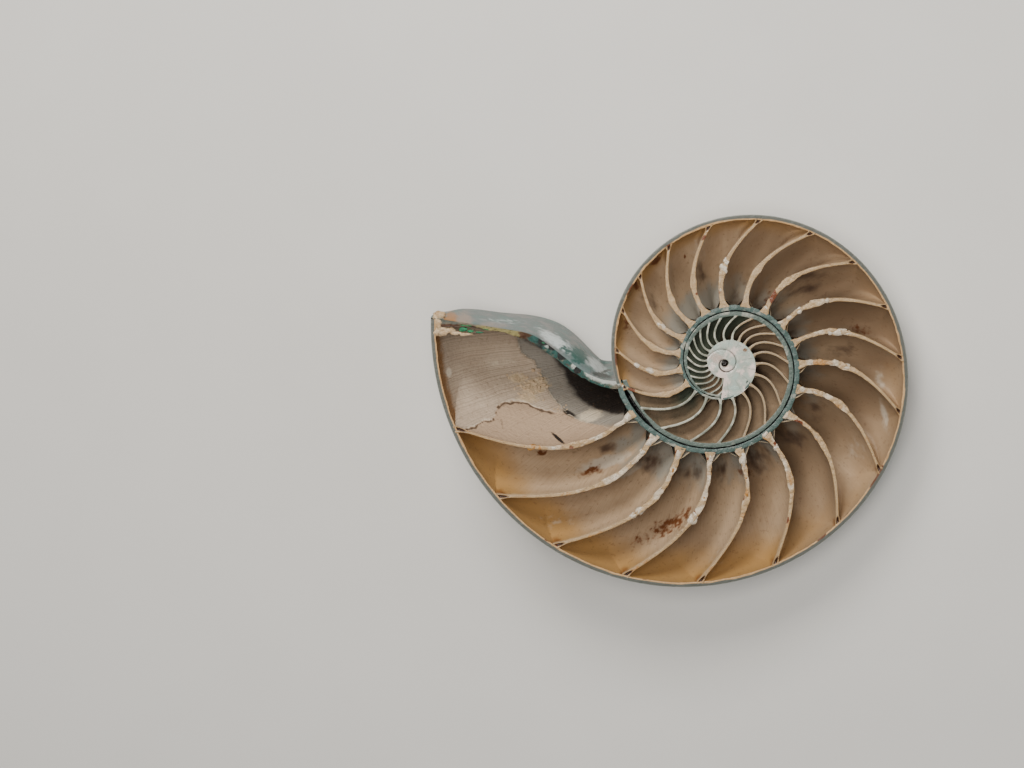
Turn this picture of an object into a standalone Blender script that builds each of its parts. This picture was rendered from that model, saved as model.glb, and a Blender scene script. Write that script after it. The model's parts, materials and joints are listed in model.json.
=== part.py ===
"""Half of a chambered nautilus shell, sawn through its plane of symmetry.

It lies on its convex flank with the sawn face upward, in metres, with +Z up. In the
sawn face +X runs to the right of the coil and +Y to its top, and the body chamber
points to -X. The outline is a logarithmic spiral that shrinks backward from the lip;
"growth angle" means degrees along it, from the lip toward older shell.
"""
import math

import bmesh
import bpy
from mathutils import Euler, Matrix, Vector

# Scale and spiral.
UNIT = 0.00036
LIP_RADIUS = 292.3 * UNIT
SPIRAL_RATE = 0.1455
SWELL = 0.017
SWELL_TURNS = 1.55
SWELL_PHASE_DEG = 46.0
SWELL_FADE_DEG = 60.0
LIP_ANGLE_DEG = 171.1

# Cross-section of a whorl, as shares of its radius and of its half width.
HALF_WIDTH_SHARE = 0.38
FLANK_SHARE = 0.47
VENTER_POWER = 2.4
UMBILICUS_FALL = 0.42
UMBILICUS_SPAN_DEG = 40.0
CENTRE_DEPTH = 0.0125
CENTRE_RADIUS = 0.0025
CENTRE_BLEND = 0.031

# The curved upper wall of the body chamber, between the lip and the coil.
ROOF_ARRIVAL_DEG = 18.4
ROOF_TURN_START = 0.72
ROOF_TURN_END = 0.36
ROOF_EASE_POWER = 1.3
ROOF_FADE_DEG = 80.0
ROOF_CORNER_DEG = 2.0
ROOF_WALL = 8.0 * UNIT

# Walls.
OUTER_WALL = 5.0 * UNIT
FLANK_THINNING = 0.25
COIL_GAP_INSET = 5.8 * UNIT
COIL_GAP_WIDTH = 1.3 * UNIT
COIL_GAP_DEPTH = 0.0016
COIL_GAP_START_DEG = 382.0
COIL_GAP_TURN_DEG = 465.0
COIL_GAP_STEPS = 56
COIL_WALL = 5.2 * UNIT
CORE_START_DEG = 640.0
CORE_END_DEG = 800.0
CORE_INSET = 2.6 * UNIT
CORE_WALL = 2.4 * UNIT

# Septa.
BULGE_DEG = 16.8
BULGE_PEAK = 0.80
BULGE_POWER = 1.15
FLANK_BULGE_LOSS = 0.58
FIRST_SEPTUM_DEG = 22.9
OUTER_STEP_DEG = 18.9
STEP_SWAY_DEG = 1.6
STEP_SWAY_PEAK = 6.0
STEP_SWAY_PERIOD = 6.8
CROWDED_STEPS = 2
CROWDING_DEG = 0.8
OUTER_SEPTA = 20
MIDDLE_STEP_DEG = 17.6
MIDDLE_END_DEG = 640.0
INNER_STEP_DEG = 14.5
LAST_SEPTUM_DEG = 812.0
SEPTUM_THIN = 3.6 * UNIT
SEPTUM_THICK = 6.0 * UNIT
THICKENING_START = 0.85
THICKENING_RUN = 0.45
STEEPEST_SLOPE = 1.6
SLOPE_STEP = 0.01
COIL_SEPTUM = 2.8 * UNIT
COIL_FULL_RADIUS = 80.0 * UNIT
NECK_PLACE = 0.42
NECK_SPREAD = 0.07
NECK_SWELL = 3.5 * UNIT
NECK_DEPTH_DEG = 20.0
DEEP_THINNING = 0.45
CORNER_INSET = 0.26
LEAST_OPENING = 0.34
LEAST_BODY_OPENING_DEG = 3.0

# Rows of the lofts.
OUTER_RADIAL_ROWS = (0.0, 0.07, 0.25, 0.42, 0.62, 0.84, 1.0)
OUTER_DEPTH_ROWS_DEG = (0.0, 24.0, 48.0, 70.0, 90.0, 108.0)
BODY_RADIAL_ROWS = (0.0, 0.06, 0.18, 0.32, 0.46, 0.6, 0.74, 0.88, 1.0)
BODY_DEPTH_ROWS_DEG = (0.0, 15.0, 30.0, 45.0, 60.0, 75.0, 90.0, 106.0)
COIL_RADIAL_ROWS = (0.0, 0.12, 0.45, 0.78, 1.0)
COIL_DEPTH_ROWS_DEG = (0.0, 30.0, 60.0, 85.0)
CUT_CLEARANCE = 0.003

# Outside of the shell.
SPOKES = 64
ROOF_COLUMNS = 9
FLANK_ROWS_DEG = (0.0, 9.0, 20.0, 32.0, 45.0, 58.0, 72.0, 90.0, 104.0, 117.0)

# Small hole at the start of the spiral.
START_HOLE_RADIUS = 0.0011
START_HOLE_DEPTH = 0.004
START_HOLE_TAPER = 0.4
START_HOLE_SIDES = 12

# Smooth shading stops at edges sharper than this.
SHARP_ANGLE_DEG = 32.0

# Lean of the sawn face when the half lies at rest on its flank.
REST_TILT_X_DEG = 2.43
REST_TILT_Y_DEG = 9.62


def spiral_radius(growth_deg):
    """Outer radius of the shell at a growth angle."""
    swell = 1.0 + SWELL * math.cos(math.radians(SWELL_TURNS * growth_deg - SWELL_PHASE_DEG))
    if growth_deg > 360.0:
        fade = max(0.0, 1.0 - (growth_deg - 360.0) / SWELL_FADE_DEG)
        swell = 1.0 + (swell - 1.0) * fade
    return LIP_RADIUS * math.exp(-SPIRAL_RATE * math.radians(growth_deg)) * swell


def flank_point(tau_deg):
    """Place on a whorl's outside, from the keel (0) over the flank (90) inward."""
    if tau_deg <= 90.0:
        tau = math.radians(tau_deg)
        reach = max(math.cos(tau), 0.0) ** (2.0 / VENTER_POWER)
        return FLANK_SHARE + (1.0 - FLANK_SHARE) * reach, math.sin(tau)
    inward = (tau_deg - 90.0) / UMBILICUS_SPAN_DEG
    return FLANK_SHARE * (1.0 - inward), 1.0 - UMBILICUS_FALL * inward * inward


def place(radius, growth_deg, height):
    """Point of the half from polar measures in the sawn face."""
    angle = math.radians(LIP_ANGLE_DEG + growth_deg)
    return Vector((radius * math.cos(angle), radius * math.sin(angle), height))


def smooth_step(value):
    """Ease from 0 to 1."""
    value = min(max(value, 0.0), 1.0)
    return value * value * (3.0 - 2.0 * value)


def roof_turn(share):
    """Growth angle of the upper wall at a share of the lip radius."""
    eased = smooth_step((ROOF_TURN_START - share) / (ROOF_TURN_START - ROOF_TURN_END))
    return ROOF_ARRIVAL_DEG * eased ** ROOF_EASE_POWER


def coil_layers(growth_deg):
    """Inset of the gap and thickness of the wall inside it, at a growth angle in the coil."""
    eased = smooth_step((growth_deg - CORE_START_DEG) / (CORE_END_DEG - CORE_START_DEG))
    inset = COIL_GAP_INSET + (CORE_INSET - COIL_GAP_INSET) * eased
    return inset, COIL_WALL + (CORE_WALL - COIL_WALL) * eased


def bulge(across, tau_deg):
    """How far a septum lies behind its outer end, across from the ring (0) to the wall (1)."""
    inward = max(1.0 - across, 0.0) / BULGE_PEAK
    wave = math.sin(0.5 * math.pi * inward ** BULGE_POWER)
    depth_loss = FLANK_BULGE_LOSS * math.sin(math.radians(min(tau_deg, 90.0))) ** 2
    return BULGE_DEG * wave * (1.0 - depth_loss)


def blade(across, tau_deg, growth_deg, coil):
    """Thickness of a septum."""
    if coil:
        return COIL_SEPTUM * math.sqrt(min(1.0, spiral_radius(growth_deg) / COIL_FULL_RADIUS))
    eased = smooth_step((THICKENING_START - across) / THICKENING_RUN)
    thick = SEPTUM_THIN + (SEPTUM_THICK - SEPTUM_THIN) * eased
    neck = math.exp(-((across - NECK_PLACE) / NECK_SPREAD) ** 2)
    fade = max(0.0, 1.0 - tau_deg / NECK_DEPTH_DEG)
    thick *= 1.0 - DEEP_THINNING * math.sin(math.radians(min(tau_deg, 90.0)))
    return thick + NECK_SWELL * neck * fade


def flank_depth(radius, tau_deg):
    """Depth of the outside below the sawn face, drawn in toward the umbilicus."""
    share, width = flank_point(tau_deg)
    depth = radius * HALF_WIDTH_SHARE * width
    if tau_deg <= 90.0:
        return depth
    reach = radius * share
    blend = smooth_step((reach - CENTRE_RADIUS) / (CENTRE_BLEND - CENTRE_RADIUS))
    return CENTRE_DEPTH + (depth - CENTRE_DEPTH) * blend


def whorl_ends(growth_deg, tau_deg, coil):
    """Inner and outer points (radius, depth) of a chamber's cross-section."""
    share, width = flank_point(tau_deg)
    outer = spiral_radius(growth_deg)
    inner = spiral_radius(growth_deg + 360.0)
    low = (inner * share, inner * HALF_WIDTH_SHARE * width)
    if coil:
        inset, wall = coil_layers(growth_deg)
        outer -= inset
        return low, ((outer - wall) * share, (outer * HALF_WIDTH_SHARE - wall) * width)
    sine = math.sin(math.radians(tau_deg))
    deep = flank_depth(outer, tau_deg) - OUTER_WALL * sine * (1.0 - FLANK_THINNING * sine)
    return low, ((outer - OUTER_WALL) * share, deep)


def septum_angle(base_deg, across, tau_deg, side, coil):
    """Growth angle of one face of the septum that leaves the wall at base_deg."""
    middle = base_deg + bulge(across, tau_deg)
    low, high = whorl_ends(middle, tau_deg, coil)
    radius = low[0] + (high[0] - low[0]) * across
    run = (high[0] - low[0]) * SLOPE_STEP
    turn = math.radians(bulge(across + SLOPE_STEP, tau_deg) - bulge(across, tau_deg))
    slope = min(abs(radius * turn / run), STEEPEST_SLOPE)
    half = 0.5 * blade(across, tau_deg, base_deg, coil) * math.sqrt(1.0 + slope * slope)
    return middle + side * math.degrees(half / radius)


def loft(name, rows):
    """Closed mesh of a block given as rows[depth][across][along] points."""
    mesh = bmesh.new()
    grid = [[[mesh.verts.new(p) for p in line] for line in layer] for layer in rows]
    n_depth = len(grid)
    n_across = len(grid[0])
    n_along = len(grid[0][0])

    def quad(a, b, c, d):
        mesh.faces.new((a, b, c, d))

    for j in range(n_across - 1):
        for k in range(n_along - 1):
            for layer in (grid[0], grid[-1]):
                quad(layer[j][k], layer[j + 1][k], layer[j + 1][k + 1], layer[j][k + 1])
    for i in range(n_depth - 1):
        for k in range(n_along - 1):
            for j in (0, n_across - 1):
                quad(grid[i][j][k], grid[i + 1][j][k], grid[i + 1][j][k + 1], grid[i][j][k + 1])
        for j in range(n_across - 1):
            for k in (0, n_along - 1):
                quad(grid[i][j][k], grid[i + 1][j][k], grid[i + 1][j + 1][k], grid[i][j + 1][k])
    bmesh.ops.recalc_face_normals(mesh, faces=mesh.faces)
    data = bpy.data.meshes.new(name)
    mesh.to_mesh(data)
    mesh.free()
    return data


def chamber(name, front, back, across_rows, depth_rows, least, coil=False, columns=3):
    """Hollow between two faces given as functions of (across, tau), least wide in degrees."""
    layers = []
    for tau in (None,) + tuple(depth_rows):
        turn = 0.0 if tau is None else tau
        layer = []
        for across in across_rows:
            first = front(across, turn)
            last = back(across, turn)
            half = 0.5 * max(last - first, least)
            half *= 1.0 - 2.0 * CORNER_INSET * max(0.0, 1.0 - across / across_rows[1])
            middle = 0.5 * (first + last)
            first = middle - half
            last = middle + half
            line = []
            for step in range(columns):
                growth = first + (last - first) * step / (columns - 1)
                low, high = whorl_ends(growth, turn, coil)
                radius = low[0] + (high[0] - low[0]) * across
                depth = low[1] + (high[1] - low[1]) * across
                height = CUT_CLEARANCE if tau is None else -depth
                line.append(place(radius, growth, height))
            layer.append(line)
        layers.append(layer)
    return loft(name, layers)


def septum_bases():
    """Growth angles where the septa meet the outer wall: outer whorl, then coil."""
    outer = [FIRST_SEPTUM_DEG]
    for count in range(1, OUTER_SEPTA):
        sway = math.cos(2.0 * math.pi * (count - STEP_SWAY_PEAK) / STEP_SWAY_PERIOD)
        step = OUTER_STEP_DEG + STEP_SWAY_DEG * sway
        if count <= CROWDED_STEPS:
            step -= CROWDING_DEG
        outer.append(outer[-1] + step)
    coil = [outer[-1]]
    while coil[-1] < LAST_SEPTUM_DEG:
        step = MIDDLE_STEP_DEG if coil[-1] < MIDDLE_END_DEG else INNER_STEP_DEG
        coil.append(coil[-1] + step)
    return outer, coil


def between(front_deg, back_deg, coil):
    """Front and back face functions of the chamber between two septa."""
    def front(across, tau):
        return septum_angle(front_deg, across, tau, 1.0, coil)

    def back(across, tau):
        return septum_angle(back_deg, across, tau, -1.0, coil)

    return front, back


def body_faces():
    """Front and back face functions of the body chamber."""
    def front(across, tau):
        low, high = whorl_ends(ROOF_CORNER_DEG, tau, False)
        radius = low[0] + (high[0] - low[0]) * across
        share = radius / LIP_RADIUS
        return roof_turn(share) + math.degrees(ROOF_WALL / radius)

    def back(across, tau):
        return septum_angle(FIRST_SEPTUM_DEG, across, tau, -1.0, False)

    return front, back


def outside_columns():
    """Columns of points down the outside, from the keel edge to the umbilicus."""
    columns = []
    last_growth = 360.0 + ROOF_ARRIVAL_DEG
    for spoke in range(SPOKES + 1):
        growth = last_growth * spoke / SPOKES
        radius = spiral_radius(growth)
        fade = max(0.0, 1.0 - growth / ROOF_FADE_DEG)
        column = []
        for tau in FLANK_ROWS_DEG:
            share = flank_point(tau)[0]
            turn = growth + roof_turn(share) * fade
            column.append((radius * share, turn, flank_depth(radius, tau)))
        column.append((CENTRE_RADIUS, turn, CENTRE_DEPTH))
        columns.append(column)
    return columns


def outside_mesh():
    """Closed mesh of the whole half before it is hollowed."""
    columns = outside_columns()
    first = columns[0]
    last = columns[-1]
    for step in range(1, ROOF_COLUMNS):
        t = step / ROOF_COLUMNS
        column = []
        for (ra, _, da), (rb, _, db) in zip(last[:-1], first[:-1]):
            radius = ra + (rb - ra) * t
            growth = 360.0 + roof_turn(radius / LIP_RADIUS)
            column.append((radius, growth, da + (db - da) * t))
        columns.append(column)
    mesh = bmesh.new()
    grid = [[mesh.verts.new(place(r, g, -d)) for r, g, d in column] for column in columns]
    spokes = grid[:SPOKES + 1]
    mesh.verts.remove(spokes[-1][-1])
    for column in grid[SPOKES:]:
        if column is spokes[-1]:
            column.pop()
        column.append(spokes[0][-1])
    for i in range(len(grid)):
        here = grid[i]
        after = grid[(i + 1) % len(grid)]
        for j in range(len(here) - 1):
            corners = [here[j], here[j + 1], after[j + 1], after[j]]
            mesh.faces.new(list(dict.fromkeys(corners)))
    mesh.faces.new([column[0] for column in grid])
    mesh.faces.new([column[-1] for column in spokes[:-1]])
    bmesh.ops.recalc_face_normals(mesh, faces=mesh.faces)
    data = bpy.data.meshes.new("shell_half")
    mesh.to_mesh(data)
    mesh.free()
    return data


def gap_mesh():
    """Narrow groove between the coil and the lining that the last whorl laid on it."""
    rows = []
    for height in (CUT_CLEARANCE, -COIL_GAP_DEPTH):
        layer = []
        for side in (-0.5, 0.5):
            line = []
            for step in range(COIL_GAP_STEPS + 1):
                growth = COIL_GAP_START_DEG + COIL_GAP_TURN_DEG * step / COIL_GAP_STEPS
                radius = spiral_radius(growth) - coil_layers(growth)[0]
                line.append(place(radius + side * COIL_GAP_WIDTH, growth, height))
            layer.append(line)
        rows.append(layer)
    return loft("gap", rows)


def start_hole():
    """Blind round hole at the start of the spiral."""
    mesh = bmesh.new()
    deep = START_HOLE_DEPTH + CUT_CLEARANCE
    shift = Matrix.Translation((0.0, 0.0, CUT_CLEARANCE - 0.5 * deep))
    bmesh.ops.create_cone(mesh, cap_ends=True, segments=START_HOLE_SIDES,
                          radius1=START_HOLE_TAPER * START_HOLE_RADIUS,
                          radius2=START_HOLE_RADIUS, depth=deep, matrix=shift)
    data = bpy.data.meshes.new("start_hole")
    mesh.to_mesh(data)
    mesh.free()
    return data


def material():
    """Plain shell colour."""
    shell = bpy.data.materials.new("shell")
    shell.use_nodes = True
    surface = shell.node_tree.nodes["Principled BSDF"]
    surface.inputs["Base Color"].default_value = (0.62, 0.47, 0.34, 1.0)
    surface.inputs["Roughness"].default_value = 0.4
    return shell


def cutter(collection, data):
    """Add a hidden cutting object."""
    item = bpy.data.objects.new(data.name, data)
    item.hide_render = True
    item.display_type = "WIRE"
    collection.objects.link(item)


def settle(shell):
    """Lay the half on its flank, over the origin, with its lowest point at height zero."""
    lean = Euler((math.radians(REST_TILT_X_DEG), math.radians(REST_TILT_Y_DEG), 0.0))
    turned = [lean.to_matrix() @ vertex.co for vertex in shell.data.vertices]
    low = [min(point[axis] for point in turned) for axis in range(3)]
    high = [max(point[axis] for point in turned) for axis in range(3)]
    shift = Vector((-0.5 * (low[0] + high[0]), -0.5 * (low[1] + high[1]), -low[2]))
    holder = bpy.data.objects.new("rest", None)
    holder.location = shift
    holder.rotation_euler = lean
    bpy.context.scene.collection.objects.link(holder)
    for item in [shell] + list(bpy.data.collections["cutters"].objects):
        item.parent = holder


def main():
    """Build the half shell and its cutters."""
    for old in list(bpy.data.objects):
        bpy.data.objects.remove(old, do_unlink=True)
    scene = bpy.context.scene
    parts = bpy.data.collections.new("nautilus_shell_half")
    cutters = bpy.data.collections.new("cutters")
    scene.collection.children.link(parts)
    scene.collection.children.link(cutters)

    shell = bpy.data.objects.new("shell_half", outside_mesh())
    shell.data.materials.append(material())
    shell.data.shade_smooth()
    shell.data.set_sharp_from_angle(angle=math.radians(SHARP_ANGLE_DEG))
    parts.objects.link(shell)

    outer, coil = septum_bases()
    front, back = body_faces()
    cutter(cutters, chamber("body_chamber", front, back, BODY_RADIAL_ROWS,
                            BODY_DEPTH_ROWS_DEG, LEAST_BODY_OPENING_DEG, columns=5))
    for index, (first, last) in enumerate(zip(outer, outer[1:])):
        front, back = between(first, last, False)
        least = LEAST_OPENING * (last - first)
        cutter(cutters, chamber(f"chamber_{index + 1:02d}", front, back,
                                OUTER_RADIAL_ROWS, OUTER_DEPTH_ROWS_DEG, least))
    for index, (first, last) in enumerate(zip(coil, coil[1:])):
        front, back = between(first, last, True)
        least = LEAST_OPENING * (last - first)
        cutter(cutters, chamber(f"coil_chamber_{index + 1:02d}", front, back,
                                COIL_RADIAL_ROWS, COIL_DEPTH_ROWS_DEG, least, coil=True))
    cutter(cutters, gap_mesh())
    cutter(cutters, start_hole())

    hollow = shell.modifiers.new("hollows", "BOOLEAN")
    hollow.operation = "DIFFERENCE"
    hollow.solver = "EXACT"
    hollow.operand_type = "COLLECTION"
    hollow.collection = cutters

    settle(shell)


main()
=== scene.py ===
"""Sawn half of a chambered nautilus shell, dressed for its picture.

Shapes are made in the sawn face's own frame: +X to the right of the coil, +Y to its top
and +Z out of the cut. Growth means degrees along the spiral, from the lip toward older
shell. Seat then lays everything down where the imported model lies.
"""
import json
import logging
import math
from dataclasses import dataclass, field
from enum import Enum
from itertools import product
from typing import Any, Callable

import bpy
import numpy as np
from mathutils import Euler, Matrix, Vector


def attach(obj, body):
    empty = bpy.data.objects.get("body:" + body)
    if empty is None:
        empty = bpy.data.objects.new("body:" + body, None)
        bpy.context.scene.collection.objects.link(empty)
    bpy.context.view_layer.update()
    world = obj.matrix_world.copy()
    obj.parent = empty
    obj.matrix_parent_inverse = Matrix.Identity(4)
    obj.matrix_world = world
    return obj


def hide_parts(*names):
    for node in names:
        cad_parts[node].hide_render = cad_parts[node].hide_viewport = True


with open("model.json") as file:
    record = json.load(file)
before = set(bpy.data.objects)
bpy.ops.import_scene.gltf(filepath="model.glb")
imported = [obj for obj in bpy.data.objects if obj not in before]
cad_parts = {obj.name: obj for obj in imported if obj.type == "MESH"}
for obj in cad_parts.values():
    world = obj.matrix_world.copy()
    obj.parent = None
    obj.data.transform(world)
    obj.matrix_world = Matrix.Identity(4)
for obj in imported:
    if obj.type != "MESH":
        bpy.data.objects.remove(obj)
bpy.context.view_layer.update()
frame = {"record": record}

LOG = logging.getLogger("nautilus")
Array = np.ndarray
Colour = tuple[float, float, float, float]
Face = Callable[[Array, Array], Array]

UNIT = 0.00036
CENTRE_PX = (724.0, 363.0)
FRAME_PX = (1024.0, 768.0)
LAST_TAU = 117.0
RING_START = 378.4


def paint(code: str) -> Colour:
    """Linear colour of a six-figure sRGB code.

    Args:
        code: six hexadecimal figures.

    Returns:
        The colour, with full alpha.
    """
    parts = [int(code[i:i + 2], 16) / 255.0 for i in (0, 2, 4)]
    linear = [p / 12.92 if p <= 0.04045 else ((p + 0.055) / 1.055) ** 2.4 for p in parts]
    return (linear[0], linear[1], linear[2], 1.0)


def ease(value: Any) -> Any:
    """Smooth step from 0 to 1."""
    value = np.clip(value, 0.0, 1.0)
    return value * value * (3.0 - 2.0 * value)


def window(value: Array, low: float, high: float, soft: float) -> Array:
    """1 between low and high, with soft ends outside them."""
    return ease((value - low + soft) / soft) * ease((high + soft - value) / soft)


def rumple(points: Array, size: float, seed: int) -> Array:
    """Smooth noise from -1 to 1.

    Args:
        points: places, with x, y and z in the last axis.
        size: metres from one bump to the next.
        seed: picks the pattern.

    Returns:
        One value for each place.
    """
    cell = points / size
    base = np.floor(cell).astype(np.int64)
    part = ease(cell - base)
    total = np.zeros(points.shape[:-1])
    for corner in product((0, 1), repeat=3):
        spot = base + np.array(corner)
        mixed = (spot[..., 0] * 73856093) ^ (spot[..., 1] * 19349663) ^ (spot[..., 2] * 83492791)
        mixed = (mixed + seed * 7919) & 0x7FFFFFFF
        mixed = ((mixed ^ (mixed >> 13)) * 1274126177) & 0x7FFFFFFF
        value = ((mixed ^ (mixed >> 16)) & 0xFFFF) / 32767.5 - 1.0
        weight = np.prod(np.where(np.array(corner) == 1, part, 1.0 - part), axis=-1)
        total += value * weight
    return total


class Side(Enum):
    """The two faces of a septum: toward the lip or toward the core."""

    LIPWARD = -1.0
    COREWARD = 1.0


@dataclass(frozen=True)
class Spot:
    """Soft oval on the photograph, in its pixels."""

    x: float
    y: float
    wide: float
    high: float
    turn_deg: float = 0.0
    strength: float = 1.0


def spotted(pixels: Array, spots: tuple[Spot, ...]) -> Array:
    """How strongly any of the spots covers each pixel place, from 0 to 1.

    Args:
        pixels: places on the photograph.
        spots: the soft ovals.

    Returns:
        One value for each place.
    """
    total = np.zeros(pixels.shape[:-1])
    for spot in spots:
        turn = math.radians(spot.turn_deg)
        dx, dy = pixels[..., 0] - spot.x, spot.y - pixels[..., 1]
        along = (dx * math.cos(turn) + dy * math.sin(turn)) / spot.wide
        over = (dy * math.cos(turn) - dx * math.sin(turn)) / spot.high
        total = np.maximum(total, spot.strength * np.exp(-(along ** 2 + over ** 2) ** 1.5))
    return total


@dataclass(frozen=True)
class Spiral:
    """The shell's form: its spiral, the section of a whorl and the run of a septum."""

    lip_radius: float = 292.3 * UNIT
    rate: float = 0.1455
    swell: float = 0.017
    swell_turns: float = 1.55
    swell_phase: float = 46.0
    swell_fade: float = 60.0
    lip_angle: float = 171.1
    width: float = 0.38
    flank: float = 0.47
    venter: float = 2.4
    umbilicus_fall: float = 0.42
    umbilicus_span: float = 40.0
    centre_depth: float = 0.0125
    centre_radius: float = 0.0025
    centre_blend: float = 0.031
    roof_arrival: float = 18.4
    roof_start: float = 0.72
    roof_end: float = 0.36
    roof_power: float = 1.3
    roof_fade: float = 80.0
    roof_wall: float = 8.0 * UNIT
    roof_corner: float = 2.0
    outer_wall: float = 5.0 * UNIT
    flank_thinning: float = 0.25
    bulge_deg: float = 16.8
    bulge_peak: float = 0.8
    bulge_power: float = 1.15
    bulge_loss: float = 0.58
    steepest: float = 1.6
    bases: tuple[float, ...] = (
        22.9, 40.0, 56.9, 74.7, 93.2, 113.4, 134.0, 153.9, 172.9, 190.6,
        208.6, 228.0, 246.7, 266.9, 286.8, 305.3, 323.2, 341.4, 361.9, 382.1)
    coil_bases: tuple[float, ...] = (
        382.1, 397.5, 415.5, 436.0, 454.6, 473.2, 492.0, 512.0, 532.0, 549.8,
        565.9, 580.7, 594.5, 610.0, 628.0, 646.5, 662.0, 677.0, 691.5, 706.0,
        720.5, 735.0, 749.5, 764.0, 778.5, 793.0, 807.0)

    def radius(self, growth: Any) -> Any:
        """Outer radius at a growth angle.

        Args:
            growth: degrees along the spiral.

        Returns:
            The radius in metres.
        """
        swell = 1.0 + self.swell * np.cos(np.radians(self.swell_turns * growth - self.swell_phase))
        fade = np.clip(1.0 - (growth - 360.0) / self.swell_fade, 0.0, 1.0)
        return self.lip_radius * np.exp(-self.rate * np.radians(growth)) * (
            1.0 + (swell - 1.0) * fade)

    def section(self, tau: Array) -> tuple[Array, Array]:
        """Share of the radius and of the half width, from the keel (0) over the flank (90).

        Args:
            tau: degrees down the section, from the cut.

        Returns:
            The two shares.
        """
        turned = np.radians(np.minimum(tau, 90.0))
        reach = np.maximum(np.cos(turned), 0.0) ** (2.0 / self.venter)
        inward = np.maximum(tau - 90.0, 0.0) / self.umbilicus_span
        share = np.where(tau <= 90.0, self.flank + (1.0 - self.flank) * reach,
                         self.flank * (1.0 - inward))
        return share, np.sin(turned) * (1.0 - self.umbilicus_fall * inward * inward)

    def place(self, radius: Array, growth: Array, height: Array) -> Array:
        """Points from polar measures in the sawn face.

        Args:
            radius: distance from the spiral's centre.
            growth: degrees along the spiral.
            height: how far out of the cut.

        Returns:
            The points.
        """
        angle = np.radians(self.lip_angle + growth)
        return np.stack(np.broadcast_arrays(
            radius * np.cos(angle), radius * np.sin(angle), height), axis=-1)

    def roof_turn(self, share: Array) -> Array:
        """Growth of the upper wall at a share of the lip radius."""
        eased = ease((self.roof_start - share) / (self.roof_start - self.roof_end))
        return self.roof_arrival * eased ** self.roof_power

    def flank_depth(self, radius: Array, tau: Array) -> Array:
        """Depth of the outside, drawn in toward the umbilicus.

        Args:
            radius: the spiral's radius there.
            tau: degrees down the section, from the cut.

        Returns:
            Metres under the sawn face.
        """
        share, width = self.section(tau)
        depth = radius * self.width * width
        width = self.centre_blend - self.centre_radius
        blend = ease((radius * share - self.centre_radius) / width)
        drawn = self.centre_depth + (depth - self.centre_depth) * blend
        return np.where(tau <= 90.0, depth, drawn)

    def coil_layers(self, growth: Array) -> tuple[Array, Array]:
        """Inset of the gap in the ring and thickness of the wall inside it."""
        eased = ease((growth - 640.0) / 160.0)
        return UNIT * (5.8 - 3.2 * eased), UNIT * (5.2 - 2.8 * eased)

    def ends(self, growth: Array, tau: Array, coil: bool) -> tuple[Array, ...]:
        """Inner radius and depth, then outer radius and depth, of a chamber's section.

        Args:
            growth: degrees along the spiral.
            tau: degrees down the section, from the cut.
            coil: whether it is one of the inner coil's.

        Returns:
            The four measures.
        """
        share, width = self.section(tau)
        outer, inner = self.radius(growth), self.radius(growth + 360.0)
        low = (inner * share, inner * self.width * width)
        if coil:
            inset, wall = self.coil_layers(growth)
            outer = outer - inset
            return (*low, (outer - wall) * share, (outer * self.width - wall) * width)
        sine = np.sin(np.radians(tau))
        deep = self.flank_depth(outer, tau) - self.outer_wall * sine * (
            1.0 - self.flank_thinning * sine)
        return (*low, (outer - self.outer_wall) * share, deep)

    def bulge(self, across: Array, tau: Array) -> Array:
        """How far a septum lies behind its outer end, from the ring (0) to the wall (1).

        Args:
            across: 0 at the ring and 1 at the outer wall.
            tau: degrees down the section, from the cut.

        Returns:
            Degrees along the spiral.
        """
        inward = np.maximum(1.0 - across, 0.0) / self.bulge_peak
        wave = np.sin(0.5 * math.pi * inward ** self.bulge_power)
        return self.bulge_deg * wave * (
            1.0 - self.bulge_loss * np.sin(np.radians(np.minimum(tau, 90.0))) ** 2)

    def blade(self, across: Array, tau: Array, growth: float, coil: bool) -> Array:
        """Thickness of a septum.

        Args:
            across: 0 at the ring and 1 at the outer wall.
            tau: degrees down the section, from the cut.
            growth: where the septum stands.
            coil: whether it is one of the inner coil's.

        Returns:
            Metres.
        """
        if coil:
            full = 80.0 * UNIT
            return 2.3 * UNIT * np.sqrt(np.minimum(1.0, self.radius(growth) / full)) + 0.0 * across
        thick = UNIT * (3.0 + 1.6 * ease((0.85 - across) / 0.45))
        thick = thick * (1.0 - 0.45 * np.sin(np.radians(np.minimum(tau, 90.0))))
        neck = np.exp(-((across - 0.42) / 0.07) ** 2)
        return thick + 2.6 * UNIT * neck * np.clip(1.0 - tau / 20.0, 0.0, 1.0)

    def septum(self, base: float, across: Array, tau: Array, side: Any, coil: bool,
               extra: Any = 0.0) -> Array:
        """Growth angle across a septum, side -1 at its lipward face and 1 at the other.

        Args:
            base: where its outer end stands.
            across: 0 at the ring and 1 at the outer wall.
            tau: degrees down the section, from the cut.
            side: -1 to 1, through its thickness.
            coil: whether it is one of the inner coil's.
            extra: metres added to each side.

        Returns:
            The growth of each place.
        """
        middle = base + self.bulge(across, tau)
        low, _, high, _ = self.ends(middle, tau, coil)
        radius = low + (high - low) * across
        turn = np.radians(self.bulge(across + 0.01, tau) - self.bulge(across, tau))
        slope = np.minimum(np.abs(radius * turn / ((high - low) * 0.01)), self.steepest)
        half = 0.5 * self.blade(across, tau, base, coil) * np.sqrt(1.0 + slope * slope) + extra
        return middle + side * np.degrees(half / radius)


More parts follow.
